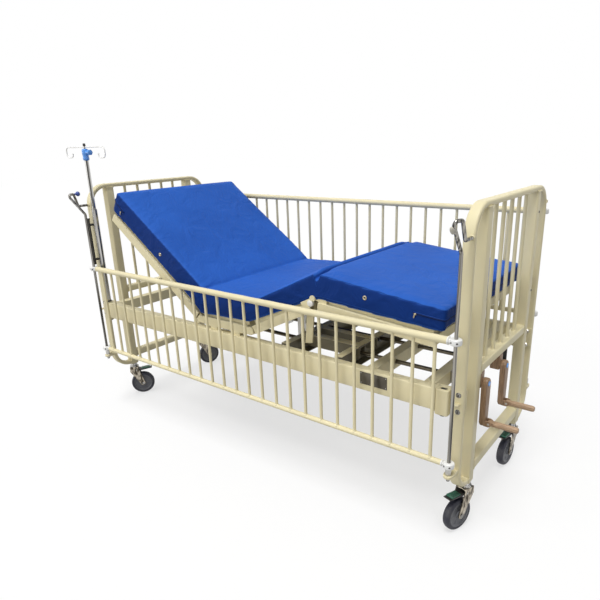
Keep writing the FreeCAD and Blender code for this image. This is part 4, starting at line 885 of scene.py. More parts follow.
@dataclass
class EndFrames:
    """The two end frames: bent hoops, legs, crossbars, upright bars and fasteners."""

    half: float = 0.3635
    top: float = 1.1655
    foot: float = 0.200
    inner: float = 0.274
    corner: float = 0.090
    edge: float = 0.0065
    deep: float = 0.038
    thick: float = 0.019
    leg: float = 0.040
    leg_low: float = 0.186
    leg_high: float = 1.158
    crossbars_at: tuple[tuple[float, float], ...] = ((0.617, 0.030), (0.245, 0.034))
    bar_pitch: float = 0.078
    bar_radius: float = 0.007
    bars_per_end: int = 5
    sunk: float = 0.002
    bolt_levels: tuple[float, float] = (0.572, 0.512)
    bolt_head: tuple[float, float] = (0.009, 0.006)
    bolt_radius: float = 0.0045
    bolt_face: float = 0.373
    nut_face: float = 0.348
    screw_levels: tuple[float, float] = (0.70, 0.93)
    far_screw_levels: tuple[float, float] = (0.772, 1.078)

    def hoop(self, name: str, x: float) -> None:
        """Build one bent hoop with its turned-in feet.

        Args:
            name: the end's name.
            x: the end's plane.
        """
        shape = Shape()
        tuck = self.half - self.inner - 0.0005
        corners = [(x, -self.inner, self.foot), (x, -self.half, self.foot), (x, -self.half, self.top),
                   (x, self.half, self.top), (x, self.half, self.foot), (x, self.inner, self.foot)]
        route = fillet(corners, [tuck, self.corner, self.corner, tuck], step=0.09)
        shape.sweep(route, rounded_rectangle(self.deep, self.thick, self.edge), ALONG)
        for sign in (-1, 1):
            weld_loop(shape, framed((x, sign * self.inner, self.foot), self.deep, self.thick, ALONG, UP),
                      ACROSS, 0.002)
        shape.piece(f"{name}_hoop_bend", CREAM, Body.BED, [f"{name}_hoop"])

    def legs(self) -> None:
        """Build the four square legs, welded under the hoops."""
        shape = Shape()
        tall = self.leg_high - self.leg_low
        for x in (HEAD_X, FOOT_X):
            for sign in (-1, 1):
                shape.block((x, sign * LEG_Y, self.leg_low + tall / 2), (self.leg, self.leg, tall), 0.004)
                top = framed((x, sign * LEG_Y, self.leg_high - self.sunk), self.leg, self.leg, ALONG, ACROSS)
                weld_loop(shape, top, UP, 0.0022)
        shape.piece("square_legs", CREAM, Body.BED, ["end_legs"])

    def crossbars(self) -> None:
        """Build the upper and lower crossbars between the legs."""
        shape = Shape()
        wide = 2 * LEG_Y - self.leg
        for x in (HEAD_X, FOOT_X):
            for level, tall in self.crossbars_at:
                shape.block((x, 0, level), (self.leg, wide, tall), 0.003)
                for sign in (-1, 1):
                    end = framed((x, sign * (wide / 2 - 0.001), level), self.leg, tall, ALONG, UP)
                    weld_loop(shape, end, ACROSS)
        shape.piece("end_rails_square", CREAM, Body.BED, ["end_crossbars"])

    def bars(self) -> None:
        """Build the upright round bars with their fillet welds."""
        shape = Shape()
        upper, tall = self.crossbars_at[0]
        low, high = upper + tall / 2, self.leg_high - self.sunk
        for x in (HEAD_X, FOOT_X):
            for i in range(self.bars_per_end):
                y = (i - (self.bars_per_end - 1) / 2) * self.bar_pitch
                shape.tube([(x, y, low), (x, y, high)], self.bar_radius, count=18)
                weld_ring(shape, (x, y, low), UP, self.bar_radius)
                weld_ring(shape, (x, y, high), -UP, self.bar_radius)
        shape.piece("end_round_bars", CREAM, Body.BED, ["end_bars"])

    def bolts(self) -> None:
        """Build the domed bolts outside with their nuts inside, and the small screws in the hoops."""
        shape = Shape()
        for x in (HEAD_X, FOOT_X):
            for sign in (-1, 1):
                out = ACROSS * sign
                for level in self.bolt_levels:
                    shape.dome((x, sign * self.bolt_face, level), out, *self.bolt_head)
                    shape.hexagon((x, sign * self.nut_face, level), -out, *self.bolt_head)
                    shape.tube([(x, sign * (self.nut_face - 0.008), level),
                                (x, sign * (self.bolt_face + 0.001), level)], self.bolt_radius, count=12)
        shape.piece("hoop_dome_bolts", CHROME, Body.BED, ["hoop_bolts"])
        small = Shape()
        face = self.deep / 2
        for x, way in ((HEAD_X, 1), (FOOT_X, -1)):
            for sign in (-1, 1):
                for level in self.screw_levels:
                    small.dome((x + way * face, sign * self.half, level), ALONG * way, 0.0055, 0.003)
        for level in self.far_screw_levels:
            small.dome((FOOT_X + face, LEG_Y + 0.014, level), ALONG, 0.0060, 0.003)
        small.piece("hoop_small_screws", DARK, Body.BED)

    def build(self) -> None:
        """Build both end frames."""
        self.hoop("head", HEAD_X)
        self.hoop("foot", FOOT_X)
        self.legs()
        self.crossbars()
        self.bars()
        self.bolts()
        paint("corner_brackets", CREAM)
        paint("caster_sockets", CHROME)


# ------------------------------------------------------------------ bed frame

@dataclass
class BedFrame:
    """The side tubes with their pole sockets, the rating plate, lift guides and knee fittings."""

    y: float = 0.373
    wide: float = 0.038
    low: float = 0.505
    high: float = 0.585
    run: tuple[float, float] = (-0.933, 0.895)
    socket_x: tuple[float, float] = (-0.956, 0.918)
    socket_long: float = 0.046
    socket_low: float = 0.493
    bore: float = 0.01255
    rim: float = 0.002
    plate_at: tuple[float, float] = (0.663, 0.5535)
    rivet_x: tuple[float, float] = (0.613, 0.713)
    rivet_levels: tuple[float, float] = (0.535, 0.572)
    guide_run: tuple[float, float] = (0.215, 0.507)
    guide_sheet: float = 0.003
    guides: tuple[tuple[float, float, float], ...] = ((-0.215, 0.549, 0.020), (-0.120, 0.553, 0.018))
    guide_high: float = 0.594
    carrier_deep: float = 0.034
    carrier_levels: tuple[float, float] = (0.514, 0.590)
    strip: float = 0.0022
    bush_y: tuple[float, float] = (-0.215, -0.030)
    shaft_level: float = 0.562
    stay_y: float = 0.3475
    stay_outline: tuple[tuple[float, float], ...] = (
        (0.330, 0.612), (0.366, 0.618), (0.377, 0.752), (0.389, 0.784), (0.377, 0.796), (0.352, 0.786),
        (0.343, 0.740))

    def tubes(self) -> None:
        """Build the two side tubes."""
        shape = Shape()
        start, stop = self.run
        level, tall = (self.low + self.high) / 2, self.high - self.low
        for sign in (-1, 1):
            shape.block(((start + stop) / 2, sign * self.y, level), (stop - start, self.wide, tall), 0.005)
            for x in self.run:
                weld_loop(shape, framed((x, sign * self.y, level), self.wide, tall, ACROSS, UP), ALONG)
        shape.piece("long_side_tubes", CREAM, Body.BED, ["side_tubes"])

    def sockets(self) -> None:
        """Build the four pole sockets with their drains; all but the pole's own are plugged."""
        shape = Shape()
        caps = Shape()
        outline = rounded_rectangle(self.socket_long, self.wide, 0.006)
        slim = 1 - 2 * self.rim / self.wide
        for x in self.socket_x:
            for sign in (-1, 1):
                rings = []
                for level, scale in ((self.socket_low, slim), (self.socket_low + self.rim, 1.0),
                                     (self.high - self.rim, 1.0), (self.high, slim)):
                    rings.append(shape.ring(Vector((x + a * scale, sign * self.y + b * scale, level))
                                            for a, b in outline))
                for level, radius in ((self.high, self.bore + 0.001), (self.high - 0.0015, self.bore),
                                      (self.socket_low + 0.004, self.bore)):
                    rings.append(shape.ring(Vector((x, sign * self.y, level)) +
                                            Vector((a, b, 0)).normalized() * radius for a, b in outline))
                shape.skin(rings)
                base = Vector((x, sign * self.y, self.socket_low))
                caps.lathe([(0.009, 0.0), (0.011, -0.002), (0.011, -0.006), (0.006, -0.009)], base, UP)
                if (x, sign) != (self.socket_x[0], -1):
                    plug = self.high - self.socket_low - 0.009
                    caps.lathe([(self.bore, 0.0), (self.bore, plug)], base + UP * 0.005, UP)
        shape.piece("pole_socket_blocks", CREAM, Body.BED)
        caps.piece("pole_socket_drains", BLACK, Body.BED)

    def plate(self) -> None:
        """Build the bare rating plate with its four rivets."""
        shape = Shape()
        x, level = self.plate_at
        face = -self.y - self.wide / 2
        shape.block((x, face - 0.0006, level), (0.110, 0.0012, 0.047), 0.0005)
        shape.block((x, face - 0.0013, level), (0.094, 0.0006, 0.034), 0.0002)
        shape.piece("rating_plate_bare", PLATE_METAL, Body.BED)
        rivets = Shape()
        for x in self.rivet_x:
            for level in self.rivet_levels:
                rivets.dome((x, face - 0.001, level), -ACROSS, 0.0022, 0.0012)
        rivets.piece("rating_plate_rivets", ZINC, Body.BED)

    def channels(self) -> None:
        """Build the lift guides: two channels along the bed on two carriers across it, and bushes."""
        shape = Shape()
        tops = Shape()
        (start, stop), thick = self.guide_run, self.guide_sheet
        for y, low, half in self.guides:
            high = self.guide_high
            outline = [(-half, low), (-half, high), (half, high), (half, low), (half - thick, low),
                       (half - thick, high - thick), (thick - half, high - thick), (thick - half, low)]
            middle = (start + stop) / 2
            shape.prism(outline, stop - start, (middle, y, 0), ACROSS, UP, 0.0012)
            tops.block((middle, y, high + 0.0008), (stop - start - 0.004, 2 * half - 0.003, self.strip),
                       0.0008)
        span = 2 * (self.y - self.wide / 2)
        (low, high), deep = self.carrier_levels, self.carrier_deep
        outline = [(0.0, low), (deep, low), (deep, low + thick), (thick, low + thick),
                   (thick, high - thick), (deep, high - thick), (deep, high), (0.0, high)]
        rings = Shape()
        for x in (start - 0.004, stop - 0.036):
            shape.prism(outline, span, (x, 0, 0), ALONG, UP, 0.0012)
            tops.block((x + deep / 2, 0, high + 0.0008), (deep - 0.003, span - 0.004, self.strip), 0.0008)
            for y in self.bush_y:
                rings.band([(0.0083, 0.0), (0.0150, 0.0), (0.0160, 0.001), (0.0160, 0.007), (0.0150, 0.008),
                            (0.0083, 0.008)], (x + thick, y, self.shaft_level), ALONG)
        # The channels and carriers carry painted shade; only their top strips show the cream.
        shape.piece("lift_guide_channels", PAINTED_GUIDE_SHADE, Body.BED)
        tops.piece("lift_guide_top_strips", CREAM, Body.BED)
        rings.piece("lift_guide_bushes", DARK, Body.BED)

    def knees(self) -> None:
        """Build the stay plates under the knee and the white sleeves on its hinge."""
        shape = Shape()
        sleeves = Shape()
        for sign in (-1, 1):
            shape.prism(self.stay_outline, 0.005, (0, sign * self.stay_y, 0), ALONG, UP, 0.0015)
            sleeves.lathe([(0.0100, 0.0), (0.0135, 0.0015), (0.0135, 0.0125), (0.0100, 0.014)],
                          (0.3800, sign * 0.3650, 0.7870), ACROSS * sign, 24)
            sleeves.block((0.3690, sign * 0.3700, 0.7810), (0.028, 0.009, 0.012), 0.003,
                          Matrix.Rotation(-0.47, 3, "Y"))
        shape.piece("knee_stay_plates", CREAM, Body.THIGH)
        sleeves.piece("knee_hinge_sleeves", WHITE, Body.THIGH)

    def build(self) -> None:
        """Build the bed frame and dress the CAD nodes that stay."""
        self.tubes()
        self.sockets()
        self.plate()
        self.channels()
        self.knees()
        for node in ("cross_tubes", "seat_frame", "seat_panel", "back_frame", "back_panel",
                     "thigh_frame", "thigh_panel", "calf_frame", "calf_panel"):
            paint(node, CREAM)
        for node in ("back_lever", "thigh_lever", "back_lift_nut", "knee_lift_nut", "shaft_bearings"):
            paint(node, ZINC)
        for node in ("back_crank_shaft", "knee_crank_shaft"):
            paint(node, SHAFT)


# ------------------------------------------------------------------ side rails

@dataclass
class SideRail:
    """One drop-side rail with its bars, end plugs and sliding rings."""

    side: str
    sign: int
    lift: float
    body: Body
    y: float = 0.418
    half_long: float = 0.944
    top: float = 0.769
    low: float = 0.338
    top_radius: float = 0.0125
    low_radius: float = 0.010
    bar_radius: float = 0.006
    pitch: float = 0.075
    bars: int = 25
    first_bar: float = 0.9
    sunk: float = 0.0025
    rod_x: float = 0.967
    ring_tall: float = 0.020
    ring_screw_angle: float = 0.55

    def tubes(self) -> None:
        """Build the upper and lower rail tubes."""
        shape = Shape()
        y = self.sign * self.y
        for level, radius in ((self.top, self.top_radius), (self.low, self.low_radius)):
            z = level + self.lift
            shape.lathe([(radius - 0.002, 0.0), (radius, 0.0015), (radius, 2 * self.half_long - 0.0015),
                         (radius - 0.002, 2 * self.half_long)], (-self.half_long, y, z), ALONG, count=28)
        shape.piece(f"{self.side}_rail_long_tubes", CREAM, self.body, [f"{self.side}_rail_tubes"])

    def uprights(self) -> None:
        """Build the upright bars, each welded to both tubes."""
        shape = Shape()
        y = self.sign * self.y
        low, high = self.low + self.lift, self.top + self.lift
        for i in range(self.bars):
            x = self.first_bar - i * self.pitch
            shape.tube([(x, y, low + 0.004), (x, y, high - 0.004)], self.bar_radius, count=16)
            weld_ring(shape, (x, y, low + self.low_radius - self.sunk), UP, self.bar_radius)
            weld_ring(shape, (x, y, high - self.top_radius + self.sunk), -UP, self.bar_radius)
        shape.piece(f"{self.side}_rail_upright_bars", CREAM, self.body, [f"{self.side}_rail_bars"])

    def rings(self) -> None:
        """Build the sliding rings with their necks, and the screws in them."""
        shape = Shape()
        screws = Shape()
        reach = self.rod_x - self.half_long
        tall = self.ring_tall
        for way in (-1, 1):
            for level, radius in ((self.top, self.top_radius), (self.low, self.low_radius)):
                middle = Vector((way * self.rod_x, self.sign * self.y, level + self.lift))
                shape.band([(0.0064, 0.0), (0.016, 0.0), (0.0185, 0.002), (0.019, 0.005),
                            (0.019, tall - 0.005), (0.0185, tall - 0.002), (0.016, tall), (0.0064, tall)],
                           middle - UP * tall / 2, UP)
                neck = [(radius - 0.004, 0.017), (radius - 0.003, reach - 0.003),
                        (radius + 0.001, reach - 0.001), (radius + 0.001, reach + 0.003),
                        (radius - 0.001, reach + 0.004)]
                shape.lathe([(r, -way * h) for r, h in neck], middle, ALONG, count=24)
                for angle in (-self.ring_screw_angle, self.ring_screw_angle):
                    out = Vector((way * math.sin(angle), self.sign * math.cos(angle), 0))
                    screws.dome(middle + out * 0.0186, out, 0.0034, 0.0014)
        shape.piece(f"{self.side}_rail_sliding_rings", WHITE, self.body, [f"{self.side}_rail_bushes"])
        screws.piece(f"{self.side}_rail_ring_screws", DARK, self.body)

    def build(self) -> None:
        """Build the rail."""
        self.tubes()
        self.uprights()
        self.rings()


@dataclass(frozen=True)
class RodPlace:
    """Where one guide rod stands: its signs, the end of its return and that end's level."""

    name: str
    x_sign: int
    y_sign: int
    end_x: float
    end_level: float


@dataclass
class GuideRods:
    """The chromed guide rods with their handle bends, knobs, tabs, nuts and catches."""

    x: float = 0.967
    y: float = 0.418
    radius: float = 0.006
    bottom: float = 0.278
    bend: float = 1.040
    crest: float = 1.139
    lean: float = 0.074
    back: float = 0.038
    aside: float = 0.013
    clear: float = 0.010
    drop: float = 0.024
    face: float = 0.373
    low_bend: float = 0.016
    tight_bend: float = 0.011
    tab_radius: float = 0.016
    tab_level: float = 0.296
    tab_thick: float = 0.010
    catch_at: tuple[float, float] = (0.3845, 0.5425)
    stay_at: tuple[float, float] = (-0.989, -0.397)
    stay_low: float = 0.784
    stay_long: float = 0.224
    clip_levels: tuple[float, float] = (0.804, 0.978)
    places: tuple[RodPlace, ...] = (
        RodPlace("near_head", -1, -1, -1.000, 1.079), RodPlace("far_head", -1, 1, -1.000, 1.106),
        RodPlace("near_foot", 1, -1, 0.980, 1.079), RodPlace("far_foot", 1, 1, 0.980, 1.106))

    def rods(self) -> None:
        """Build the four rods: the near ones end in a handle bend, the far ones turn in once."""
        shape = Shape()
        for place in self.places:
            x, way = place.x_sign * self.x, place.y_sign
            out = self.y + self.lean
            low = (x, way * self.y, self.bottom)
            end = (place.end_x, way * (self.face + 0.004), place.end_level)
            if way > 0:
                route = fillet([low, (x, way * self.y, place.end_level), end], [self.low_bend])
            else:
                points = [low, (x, way * self.y, self.bend), (x, way * out, self.crest),
                          (x + place.x_sign * self.aside, way * (out - self.back), self.crest),
                          (place.end_x, way * (self.y + self.clear), place.end_level), end]
                route = fillet(points, [self.low_bend, self.tight_bend, self.tight_bend, self.tight_bend])
            shape.sweep(route, circle(self.radius, 18), ALONG * place.x_sign)
        shape.piece("chromed_guide_rods", ROD_CHROME, Body.BED, ["guide_rods"])

    def fittings(self) -> None:
        """Build the tabs, nuts, stops, bosses and catches that hold the rods."""
        shape = Shape()
        nuts = Shape()
        round_end = arc(self.tab_radius, self.tab_radius, 0, math.pi, 10)
        reach = self.y - self.face
        for place in self.places:
            x, way = place.x_sign * self.x, place.y_sign
            end = HEAD_X if place.x_sign < 0 else FOOT_X
            low, high = sorted((x, end))
            outline = [(high + self.tab_radius - x, -reach), *round_end, (low - self.tab_radius - x, -reach)]
            shape.prism([(a, way * b) for a, b in outline], self.tab_thick,
                        (x, way * self.y, self.tab_level), ALONG, ACROSS, 0.0015)
            base = Vector((x, way * self.y, 0.0))
            for turn in (-1, 1):
                nut = self.tab_level + turn * (self.tab_thick / 2 + 0.0005)
                nuts.hexagon(base + UP * nut, UP * turn, 0.0100, 0.007)
            nuts.lathe([(0.0095, 0.3085), (0.0100, 0.3100), (0.0100, 0.3260), (0.0090, 0.3275)], base, UP)
            shape.lathe([(0.0085, 0.0), (0.0085, 0.002), (0.0072, 0.004), (0.0070, 0.008)],
                        (place.end_x, way * self.face, place.end_level), ACROSS * way)
            catch_y, catch_level = self.catch_at
            shape.block((end, way * catch_y, catch_level), (0.016, 0.023, 0.005), 0.0012)
        shape.piece("rod_tabs_and_catches", CREAM, Body.BED, ["rod_fittings"])
        nuts.piece("rod_nuts_and_stops", ZINC, Body.BED)

    def knobs(self) -> None:
        """Build the blue ball knob at the head and the pale grip knob at the foot."""
        notch = math.pi / 16
        ball = arc(0.0117, 0.0100, -6 * notch, 7 * notch, 13, (0, 0.0222))
        stub = [(0.0042, 0.0040), (0.0040, 0.0085), (0.0048, 0.0120)]
        head = Shape()
        head.lathe([*stub, *ball], (-self.x - self.aside, -(self.y + self.lean - self.back), self.crest),
                   ACROSS)
        head.piece("near_head_rod_knob", KNOB_BLUE, Body.BED, ["rod_knobs"])
        foot = Shape()
        share = 1 - self.drop / (self.crest - self.bend)
        base = Vector((self.x, -(self.y + self.lean * share), self.crest - self.drop))
        foot.lathe([*stub, (0.0048, 0.0150)], base, -ACROSS)
        grip = arc(0.0064, 0.0135, -7 * notch, 7 * notch, 14)
        tilt = Vector((0, -self.lean, self.crest - self.bend)).normalized()
        foot.lathe(grip, base - ACROSS * 0.0185, tilt)
        foot.piece("near_foot_rod_knob", KNOB_PALE, Body.BED)

    def stay(self) -> None:
        """Build the dark stay tube, its cap and its clips."""
        shape = Shape()
        base = Vector((*self.stay_at, self.stay_low))
        top = self.stay_long
        shape.lathe([(0.0078, 0.0), (0.009, 0.0012), (0.009, top - 0.0012), (0.0086, top)], base, UP)
        shape.lathe([(0.0105, 0.0), (0.011, 0.001), (0.011, 0.006), (0.0095, 0.008)], base + UP * top, UP)
        for level in self.clip_levels:
            shape.block((base.x, base.y + 0.0125, level + 0.005), (0.016, 0.024, 0.010), 0.0015)
        shape.piece("dark_stay_tube", DARK, Body.BED, ["stay_tube"])

    def build(self) -> None:
        """Build the rods and all that is fixed to them."""
        self.rods()
        self.fittings()
        self.knobs()
        self.stay()


# ------------------------------------------------------------------ cranks

@dataclass
class Crank:
    """One crank: bearing housing, moulded arm with its cap, and folding ribbed handle."""

    name: str
    y: float
    stands_for: tuple[str, ...] = ()
    with_shade_blocks: bool = False
    z: float = 0.562
    face: float = 0.991
    thick: float = 0.020
    reach: float = 0.146
    pin_x: float = 1.023
    housing_x: float = 0.970
    wrist: float = 0.0196
    elbow_radius: float = 0.0150
    nose: float = 0.0108
    tongue_nose: float = 0.008
    grip_radius: float = 0.011
    grip_long: float = 0.0865
    ribs: int = 12

    def housing(self) -> None:
        """Build the brown housing under the crossbar, and beside the knee crank's the black blocks that
        stand for shade.
        """
        shape = Shape()
        shape.block((self.housing_x, self.y, 0.573), (0.036, 0.036, 0.058), 0.004)
        shape.lathe([(0.0165, 0.0), (0.0165, 0.0015), (0.0150, 0.0028), (0.0100, 0.0028)],
                    (0.9875, self.y, self.z), ALONG)
        shape.piece(f"{self.name}_crank_housing", TAN, Body.BED, self.stands_for)
        # Painted shade: black blocks set where shade falls between the crank arm and the leg.
        if self.with_shade_blocks:
            shade_blocks = Shape()
            for away, level, extent, radius in ((0.084, 0.5735, (0.026, 0.008, 0.056), 0.0025),
                                                (0.060, 0.5980, (0.026, 0.052, 0.006), 0.0020),
                                                (0.0705, 0.5480, (0.022, 0.032, 0.005), 0.0018)):
                shade_blocks.block((self.housing_x - 0.002, self.y + away, level), extent, radius)
            shade_blocks.piece(f"{self.name}_crank_shade_blocks", BLACK, Body.BED)

    def arm(self) -> None:
        """Build the moulded arm with rounded edges, its cheeks, pin and blue cap."""
        body = f"{self.name}_crank"
        shape = Shape()
        outline = [*arc(self.wrist, self.wrist, 0, math.pi, 12),
                   *arc(self.elbow_radius, self.elbow_radius, math.pi, 2 * math.pi, 12, (0, -self.reach))]
        shape.prism(outline, self.thick, (self.face + self.thick / 2, self.y, self.z), ACROSS, UP, 0.0045, 4)
        elbow = self.z - self.reach
        outer = self.face + self.thick
        nose = arc(self.nose, self.nose, -math.pi / 2, math.pi / 2, 10, (self.pin_x, 0))
        cheek = [(outer - 0.004, -self.nose), *nose, (outer - 0.004, self.nose)]
        for sign in (-1, 1):
            shape.prism(cheek, 0.0048, (0, self.y + sign * 0.0113, elbow), ALONG, UP, 0.0012)
        shape.piece(f"{self.name}_crank_moulding", TAN, body, [f"{self.name}_crank_arm"])
        metal = Shape()
        metal.tube([(self.pin_x, self.y - 0.0138, elbow), (self.pin_x, self.y + 0.0138, elbow)], 0.004,
                   count=14)
        metal.piece(f"{self.name}_crank_pin", ZINC, body)
        cap = Shape()
        cap.lathe([(0.009, 0.0), (0.009, 0.0015), (0.0078, 0.003)], (outer, self.y, self.z), ALONG)
        cap.piece(f"{self.name}_crank_cap", CLAMP_BLUE, body)

    def handle(self) -> None:
        """Build the folding handle: a tongue and a grip ribbed along its length."""
        shape = Shape()
        elbow = self.z - self.reach
        tongue = [*arc(self.tongue_nose, self.tongue_nose, math.pi / 2, 1.5 * math.pi, 10),
                  (0.022, -0.0078), (0.022, 0.0078)]
        shape.prism(tongue, 0.0168, (self.pin_x, self.y, elbow), ALONG, UP, 0.001)
        long = self.grip_long
        swell = ((0.0, 0.62), (0.002, 0.86), (0.006, 0.97), (0.012, 1.0), (long / 2, 0.98),
                 (long - 0.012, 1.0), (long - 0.005, 0.95), (long - 0.001, 0.78), (long, 0.55))
        shape.lobed([(along, self.grip_radius * share, 1.0) for along, share in swell],
                    (self.pin_x + 0.013, self.y, elbow), self.ribs, 0.075, 3, 72)
        shape.piece(f"{self.name}_ribbed_handle", TAN_LONG, f"{self.name}_handle",
                    [f"{self.name}_crank_handle"])

    def build(self) -> None:
        """Build the crank."""
        self.housing()
        self.arm()
        self.handle()


# ------------------------------------------------------------------ drip pole

@dataclass
class DripPole:
    """The drip pole: stepped chrome tube, blue clamp, knob and curled hooks."""

    x: float = -0.956
    y: float = -0.373
    clamp_low: float = 1.292
    clamp_high: float = 1.345
    knob_level: float = 1.328
    hook_level: float = 1.352
    hook_reach: float = 0.116
    hook_loop: float = 0.024

    def tubes(self) -> None:
        """Build the stepped pole."""
        shape = Shape()
        shape.lathe([(0.0115, 0.497), (0.0125, 0.498), (0.0125, 1.058), (0.0115, 1.0615), (0.0092, 1.062),
                     (0.009, 1.063), (0.009, 1.313), (0.0085, 1.314)], (self.x, self.y, 0), UP)
        shape.piece("chromed_pole_tubes", CHROME, Body.POLE, ["pole_tubes"])
        ring = Shape()
        ring.band([(0.0126, 0.0), (0.0142, 0.0), (0.0148, 0.002), (0.0148, 0.006), (0.0142, 0.008),
                   (0.0126, 0.008)], (self.x, self.y, 0.5855), UP)
        ring.piece("pole_rest_ring", BLACK, Body.POLE)

    def clamp(self) -> None:
        """Build the clamp body with its boss, and the knob on its screw."""
        shape = Shape()
        low, high = self.clamp_low, self.clamp_high
        shape.lathe([(0.0095, low), (0.0128, low), (0.0145, low + 0.003), (0.0150, low + 0.010),
                     (0.0138, low + 0.016), (0.0138, low + 0.021), (0.0150, low + 0.027),
                     (0.0150, high - 0.008), (0.0130, high - 0.002), (0.0100, high), (0.0056, high)],
                    (self.x, self.y, 0), UP)
        shape.lathe([(0.0090, 0.0), (0.0090, 0.020), (0.0078, 0.0255), (0.0045, 0.0258)],
                    (self.x, self.y, self.knob_level), ALONG)
        shape.piece("blue_clamp_body", CLAMP_BLUE, Body.POLE, ["pole_clamp"])
        knob = Shape()
        start = self.x + 0.0263
        knob.lobed(((0.0, 0.0080, 0.0), (0.002, 0.0088, 0.2), (0.007, 0.0136, 1.0), (0.014, 0.0138, 1.0),
                    (0.018, 0.0118, 0.7), (0.0198, 0.0070, 0.2), (0.020, 0.0020, 0.0)),
                   (start, self.y, self.knob_level), 6, 0.13, 1, 60)
        knob.tube([(self.x + 0.0055, self.y, self.knob_level), (start + 0.003, self.y, self.knob_level)],
                  0.0039, count=14)
        knob.piece("blue_clamp_knob", CLAMP_BLUE, Body.CLAMP_KNOB, ["pole_knob"])

    def hooks(self) -> None:
        """Build the sliding rod and its two curled hooks."""
        shape = Shape()
        shape.lathe([(0.004, 0.830), (0.005, 0.831), (0.005, 1.366), (0.0035, 1.369)],
                    (self.x, self.y, 0), UP, count=20)
        shape.piece("chromed_hook_rod", CHROME, Body.HOOKS, ["pole_hooks"])
        wires = Shape()
        level, reach, loop = self.hook_level, self.hook_reach, self.hook_loop
        for way in (-1, 1):
            out, tail = self.x + way * (reach + 2 * loop), self.x + way * (reach - 0.006)
            points = [(self.x, self.y, level), (out, self.y, level), (out, self.y, level - 2 * loop),
                      (tail, self.y, level - 2 * loop), (tail, self.y, level - 1.3 * loop)]
            wires.sweep(fillet(points, [0.8 * loop, 0.8 * loop, 0.6 * loop]), circle(0.0025, 10), ACROSS)
            wires.lathe([(0.0005, -0.0034), (0.0026, -0.0026), (0.0036, 0.0), (0.0026, 0.0026),
                         (0.0005, 0.0034)], points[-1], UP, count=14)
        wires.piece("curled_hook_wires", HOOK_WHITE, Body.HOOKS)
        cap = Shape()
        cap.lathe([(0.0062, 0.0), (0.0065, 0.004), (0.0058, 0.011), (0.0030, 0.0125)],
                  (self.x, self.y, 1.357), UP)
        cap.piece("hook_rod_cap", BLACK, Body.HOOKS)

    def build(self) -> None:
        """Build the pole."""
        self.tubes()
        self.clamp()
        self.hooks()


# ------------------------------------------------------------------ casters

